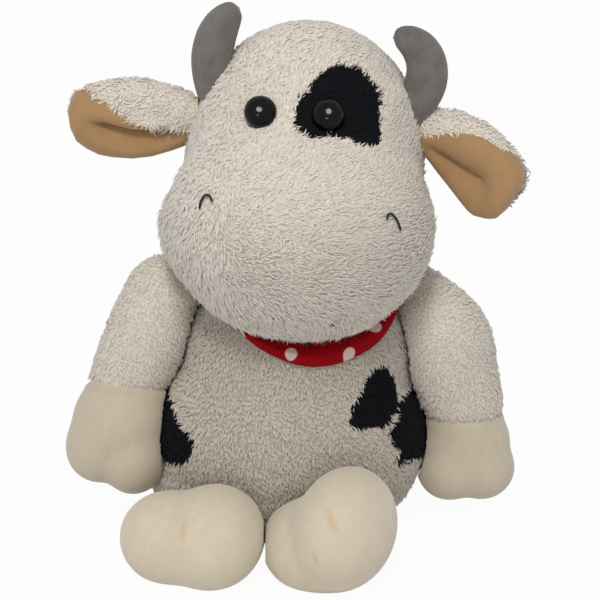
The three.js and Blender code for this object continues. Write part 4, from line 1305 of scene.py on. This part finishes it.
def makeEar(name):
    side, length, body = sides[name], earLook["length"][name], f"{name}_ear"
    rows, columns = 110, 180
    share = 1 - (1 - np.linspace(0, 1, rows)) ** 1.35
    degrees = np.linspace(0, 360, columns, endpoint=False)
    y, z = earSection(name, share, degrees)
    local = np.stack([side * length * share[:, None] + 0 * y, y, z], -1).reshape(-1, 3)
    turned, shift = earPlace(name)
    points = head.outwards(local @ turned.T + shift)
    middles = np.repeat(points.reshape(rows, columns, 3).mean(1), columns, 0)
    faces = facedOut(points, gridFaces(rows, columns), middles)
    normals = pointNormals(points, faces)
    edge = tableAt(earLook["edge"][name], np.repeat(share[:-1], columns))
    faceDegrees = np.tile(degrees + 1, rows - 1)
    inner = (faceDegrees > edge) & (faceDegrees < earLook["seamAngle"])
    lining = f"{name}_ear_lining"
    skinPiece(f"{lining}_velour", points, faces[inner], tanVelour, body, "tan_velour", lining)
    # The pile's ground meets the lining at the seam
    deep = np.full(len(points), earLook["deeper"])
    deep[faces[inner]] = 0
    sunk = points - normals * deep[:, None]
    outer = faces[~inner]
    ground = skinPiece(f"{name}_ear_ground", sunk, outer, creamGround, body, "cream_pile", f"{name}_ear_back")
    earPile(name, sunk, normals, outer)


makeHead()
for name in sides:
    makeEye(name)
    makeHorn(name)
    makeEar(name)
    nostril = head.surface(stitches[f"{name}_nostril"], headLook["nostrilLift"])
    threadPiece(f"{name}_nostril_thread", nostril, headLook["nostrilThread"], f"{name}_nostril_stitch")
mouth = head.surface(stitches["mouth"], mouthLift())
threadPiece("mouth_thread", mouth, headLook["mouthThread"], "mouth_stitch")
print("head made")


# Kerchief: a dotted cotton triangle, folded and tied behind
def kerchiefPaint():
    p, look = Paint("dotted red cotton, darkened as painted shade"), kerchiefLook
    across, down = look["print"]
    u, v, _ = p.split(p.node("ShaderNodeUVMap", {"uv_map": "OFBake"}, {}))
    x, y = u * across - (across / 2 + look["dot"][0]), v * down - (look["dot"][1] - look["start"])
    (ax, ay), (bx, by) = look["steps"]
    area = ax * by - bx * ay
    first = ((x * by - y * bx) / area + 0.5).math("FRACT") - 0.5
    second = ((y * ax - x * ay) / area + 0.5).math("FRACT") - 0.5
    offX, offY = first * ax + second * bx, first * ay + second * by
    far = (offX * offX + offY * offY).math("SQRT")
    dot = 1 - far.between(look["dotSize"] / 2 - 0.3, look["dotSize"] / 2 + 0.15)
    # The red and the dots carry painted shade from the head above
    weave = p.noise(1700.0, 3.0, 0.6)
    red = p.mix(weave.between(0.35, 0.65) * 0.35, cloth["red"], cloth["redDark"])
    return p.finish(
        Base_Color=p.mix(dot, red, cloth["dot"]), Roughness=0.88, Normal=p.bump(weave, 0.0002, 0.5),
        Specular_IOR_Level=0.1,
    )


def clothPlace(x, y):
    # Where the print is taken from, in millimetres over the cloth
    across, down = kerchiefLook["print"]
    dotX, dotY = kerchiefLook["dot"]
    return np.stack([(x + across / 2 + dotX) / across, (y + dotY - kerchiefLook["start"]) / down], -1)


def clothLayers(ways, lift):
    # The cloth's outer layer, then its inner one
    return np.vstack([torso.surface(ways, lift + kerchiefLook["thick"]), torso.surface(ways, lift)])


def shellFaces(rows, columns):
    # Two layers of an open grid, outer then inner, closed round their rim
    grid = gridFaces(rows, columns, False)
    index = np.arange(rows * columns).reshape(rows, columns)
    loop = np.concatenate([index[0, :-1], index[:-1, -1], index[-1, :0:-1], index[:0:-1, 0]])
    after, n = np.roll(loop, -1), rows * columns
    return np.vstack([grid[:, ::-1], grid + n, np.stack([loop, after, after + n, loop + n], 1)])


def knotParts():
    # A soft bundle across the back of the neck
    lift, long, high, deep = kerchiefLook["knot"]
    way = towards(180.0, lift)[None]
    centre, outward = torso.surface(way, deep * 0.75)[0], torso.normals(way)[0]
    upward = unit(np.cross(outward, [1.0, 0, 0]))
    rows, columns = 30, 48
    s = np.sin(np.linspace(-math.pi / 2, math.pi / 2, rows))[:, None]
    a = angleSteps(columns)[None]
    bulge = np.maximum(1 - s * s, 1e-5) ** 0.42
    bulge = bulge * (1 + 0.06 * np.sin(4 * a + 3 * s) + 0.04 * np.sin(7 * a - 2 * s))
    place = centre + s[..., None] * long * np.array([1.0, 0, 0])
    points = place + outward * (bulge * np.cos(a) * deep)[..., None]
    points += upward * (bulge * np.sin(a) * high)[..., None]
    points = points.reshape(-1, 3)
    faces = facedOut(points, gridFaces(rows, columns), centre)
    spots = clothPlace((s * long + 0 * a).reshape(-1), (0 * s + np.sin(a) * high).reshape(-1))
    return points, faces, spots[faces]


def tailParts(side):
    # One of the two ends that hang from the knot
    length, width, spread = kerchiefLook["tail"]
    rows, columns = 26, 13
    t, across = np.linspace(0, 1, rows)[:, None], np.linspace(-1, 1, columns)[None]
    half = width / 2 * tableAt(kerchiefLook["tailWidths"], t)
    far = 50.0
    polar = 90 - kerchiefLook["knot"][0] + 3 + np.degrees(length / far) * t + 5 * side * across * t
    x = side * (3.5 + spread * t) + across * half
    turn = 180 + np.degrees(x / (far * np.sin(np.radians(polar))))
    wave = 1.6 * np.sin(math.pi * t) + 0.9 * np.cos(across * 3 + t * 2) * smoothStep(0, 0.3, t)
    lift = (1.9 + wave + 1.2 * t * t).reshape(-1)
    ways = towards(turn, 90 - polar).reshape(-1, 3)
    points = clothLayers(ways, lift)
    faces = shellFaces(rows, columns)
    spots = clothPlace((x + side * 31).reshape(-1), (length * t + 0 * x).reshape(-1))
    return points, faces, np.tile(spots, (2, 1))[faces]


def bandParts():
    # The band round the neck
    look = kerchiefLook
    rows, columns = 60, 260
    turn = np.linspace(-180, 180, columns, endpoint=False)[None]
    t = np.linspace(0, 1, rows)[:, None]
    polar = look["top"] + (kerchiefEdge(turn) - look["top"]) * t
    ways = towards(turn + 0 * t, 90 - polar).reshape(-1, 3)
    # A rolled lower rim under a valley, and a few soft creases that run round the neck
    turns = np.radians(turn)
    creases = np.sin(t * 15 + 1.2 * np.sin(turns * 2 + 0.6))
    creases = creases + 0.7 * np.sin(t * 27 + 1.6 * np.sin(turns * 3 + 2.0))
    creases = 0.28 * creases * smoothStep(0.0, 0.2, t) * (1 - smoothStep(0.9, 1, t))
    roll = look["rim"] * tableAt(look["roll"], t) * (0.8 + 0.2 * np.sin(turns * 5 + 0.8))
    lift = np.maximum(look["lift"] + roll + creases, look["lift"]).reshape(-1)
    points = clothLayers(ways, lift)
    grid, n = gridFaces(rows, columns), len(lift)
    top = np.arange(columns)
    low, nextTop = top + (rows - 1) * columns, np.roll(top, -1)
    nextLow = nextTop + (rows - 1) * columns
    lowRim = np.stack([low, low + n, nextLow + n, nextLow], 1)[:, ::-1]
    topRim = np.stack([top, nextTop, nextTop + n, top + n], 1)[:, ::-1]
    faces = np.vstack([grid[:, ::-1], grid + n, lowRim, topRim])
    uv = np.stack([np.tile((turn[0] + 180) / 360, rows), (polar.reshape(-1) - 20) / 50], 1)
    uv = np.tile(uv, (2, 1))[faces]
    # The faces that close the ring end at the map's right side
    wrapped = uv[..., 0].max(1) - uv[..., 0].min(1) > 0.5
    uv[wrapped, :, 0] = np.where(uv[wrapped, :, 0] < 0.5, 1.0, uv[wrapped, :, 0])
    return points, faces, uv


def makeKerchief():
    parts = [bandParts(), knotParts(), tailParts(-1), tailParts(1)]
    starts = np.cumsum([0] + [len(part[0]) for part in parts])
    points = np.vstack([part[0] for part in parts])
    faces = np.vstack([part[1] + start for part, start in zip(parts, starts)])
    uv = np.vstack([part[2].reshape(-1, 2) for part in parts])
    sheet = makeMesh("kerchief_cloth", points, faces, uv)
    finishPiece(sheet, kerchiefPaint(), "torso", "red_cotton", "kerchief")


makeKerchief()
print("kerchief tied")


# Tail: a black cord that ends in a tuft
tailLook = {
    # Where it leaves the body, the cord's path from there, and the widths of the cord and the tuft
    "root": (1, 47.4, 24.6), "path": [(0, -3, 1), (0, 11.4, -5.3), (0, 23.6, -17.9), (0, 36.1, -21.1)],
    "width": 7, "tuft": 24, "tuftWidth": 14, "length": 3.2, "lean": 62,
    "spacing": 1.1, "tuftSpacing": 0.95, "row": 1.0, "ground": 0.8, "tuftGround": 1.4, "floorRoom": 0.3,
    "swirl": {"amount": 0, "size": 9, "seed": 1, "stray": 0.4},
    "shape": [
        (0, 0.3), (0.06, 0.55), (0.2, 0.85), (0.45, 0.98), (0.7, 0.9), (0.88, 0.66), (0.97, 0.36), (1, 0.02),
    ],
}


def makeTail():
    look = tailLook
    path = smoothThrough(look["path"], 16) + np.array(look["root"])
    radii = np.full(len(path), look["width"] / 2 - look["ground"])
    radii[0] = 0.02
    points, faces = tubeMesh(path, radii, 40, across=(1, 0, 0))
    finishPiece(makeMesh("tail_ground", points, faces), blackGround, "tail", "black_pile", "tail_cord")
    roots, rootNormals = scatter(points, pointNormals(points, faces), faces, look["spacing"], look["row"])
    free = torso.depth(roots) < -0.3
    heading = unit(path[-1] - path[-4])
    share = np.linspace(0, 1, 40)
    thick = look["tuftWidth"] / 2 * tableAt(look["shape"], share)
    along = path[-1] - heading * 2 + share[:, None] * (look["tuft"] + 2) * heading
    along[:, 2] = np.maximum(along[:, 2], thick + look["floorRoom"])
    points, faces = tubeMesh(along, np.maximum(thick - look["tuftGround"], 0.02), 48, across=(1, 0, 0))
    finishPiece(makeMesh("tail_tuft_ground", points, faces), blackGround, "tail", "black_pile", "tail_tuft")
    tuftNormals = pointNormals(points, faces)
    more, moreNormals = scatter(points, tuftNormals, faces, look["tuftSpacing"], look["row"])
    roots, rootNormals = np.vstack([roots[free], more]), np.vstack([rootNormals[free], moreNormals])
    flow = laid(roots, rootNormals, [0, 0.8, -0.5], look["swirl"])
    style = dict(headLook["pile"], length=look["length"], lean=look["lean"])
    growPile("tail_pile", strandsAt(roots, rootNormals, flow), style, blackPile, "tail", "black_pile")


makeTail()
print("tail made")


# What the covers hide keeps its own solid
hidden = {"pellet_bag": pelletCloth, "right_eye_washer": washerPlastic, "left_eye_washer": washerPlastic}
for node, paint in hidden.items():
    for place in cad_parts[node].material_slots:
        place.link = "OBJECT"
        place.material = paint
print("inner parts finished")


# Camera, floor and lamps
studio = {
    "camera": (0.0045, -0.7148, 0.3615), "tilt": 70, "lens": 108,
    # The lamps: place, size and power. They point at the middle of the cow
    "lamps": {"key": ((-0.12, -0.92, 1.24), 0.36, 8.5), "front": ((-0.26, -1.2, 0.7), 0.16, 1.3)},
    "aim": (0, 0, 0.11), "sky": 0.56, "floor": (0.9, 0.9, 0.9), "floorWhite": 0.95,
}
scene = bpy.context.scene
scene.view_settings.view_transform = "Standard"
lens = bpy.data.cameras.new("camera")
lens.lens, lens.sensor_width = studio["lens"], 36
lens.clip_start, lens.clip_end = 0.02, 20
camera = bpy.data.objects.new("camera", lens)
camera.location = studio["camera"]
camera.rotation_euler = (math.radians(studio["tilt"]), 0, 0)
scene.collection.objects.link(camera)
scene.camera = camera


def floorPaint():
    # Where it is seen it is mostly plain white, like the background, so that the shadow stays faint
    p = Paint("white floor")
    p.finish(Base_Color=studio["floor"], Roughness=0.9, Specular_IOR_Level=0.0)
    white = p.node("ShaderNodeEmission", {}, {"Color": (1, 1, 1), "Strength": 1.0})
    shown = p.blend(p.seenRays() * studio["floorWhite"], p.shader.outputs[0], white)
    p.plug(p.nodes["Material Output"].inputs["Surface"], shown)
    return p.material


reachOut = 6000
corners = np.array([(-1, -1, 0), (1, -1, 0), (1, 1, 0), (-1, 1, 0)]) * reachOut
floor = makeMesh("floor", corners, [(0, 1, 2, 3)], smooth=False)
floor.data.materials.append(floorPaint())


def lampAt(name, place, size, power):
    data = bpy.data.lights.new(name, "AREA")
    data.shape, data.size, data.energy = "DISK", size, power
    lamp = bpy.data.objects.new(name, data)
    lamp.location = place
    way = np.array(studio["aim"]) - np.array(place)
    turn = math.atan2(way[0], -way[1])
    lamp.rotation_euler = (math.acos(-way[2] / np.linalg.norm(way)), 0, turn + math.pi)
    scene.collection.objects.link(lamp)


for name, values in studio["lamps"].items():
    lampAt(name, *values)

world = bpy.data.worlds.new("world")
scene.world = world
world.use_nodes = True
sky = Nodes(world.node_tree)
dim = sky.nodes["Background"]
sky.plug(dim.inputs["Color"], (1, 1, 1))
sky.plug(dim.inputs["Strength"], studio["sky"])
white = sky.node("ShaderNodeBackground", {}, {"Color": (1, 1, 1), "Strength": 1.0})
sky.plug(sky.nodes["World Output"].inputs["Surface"], sky.blend(sky.seenRays(), dim.outputs[0], white))
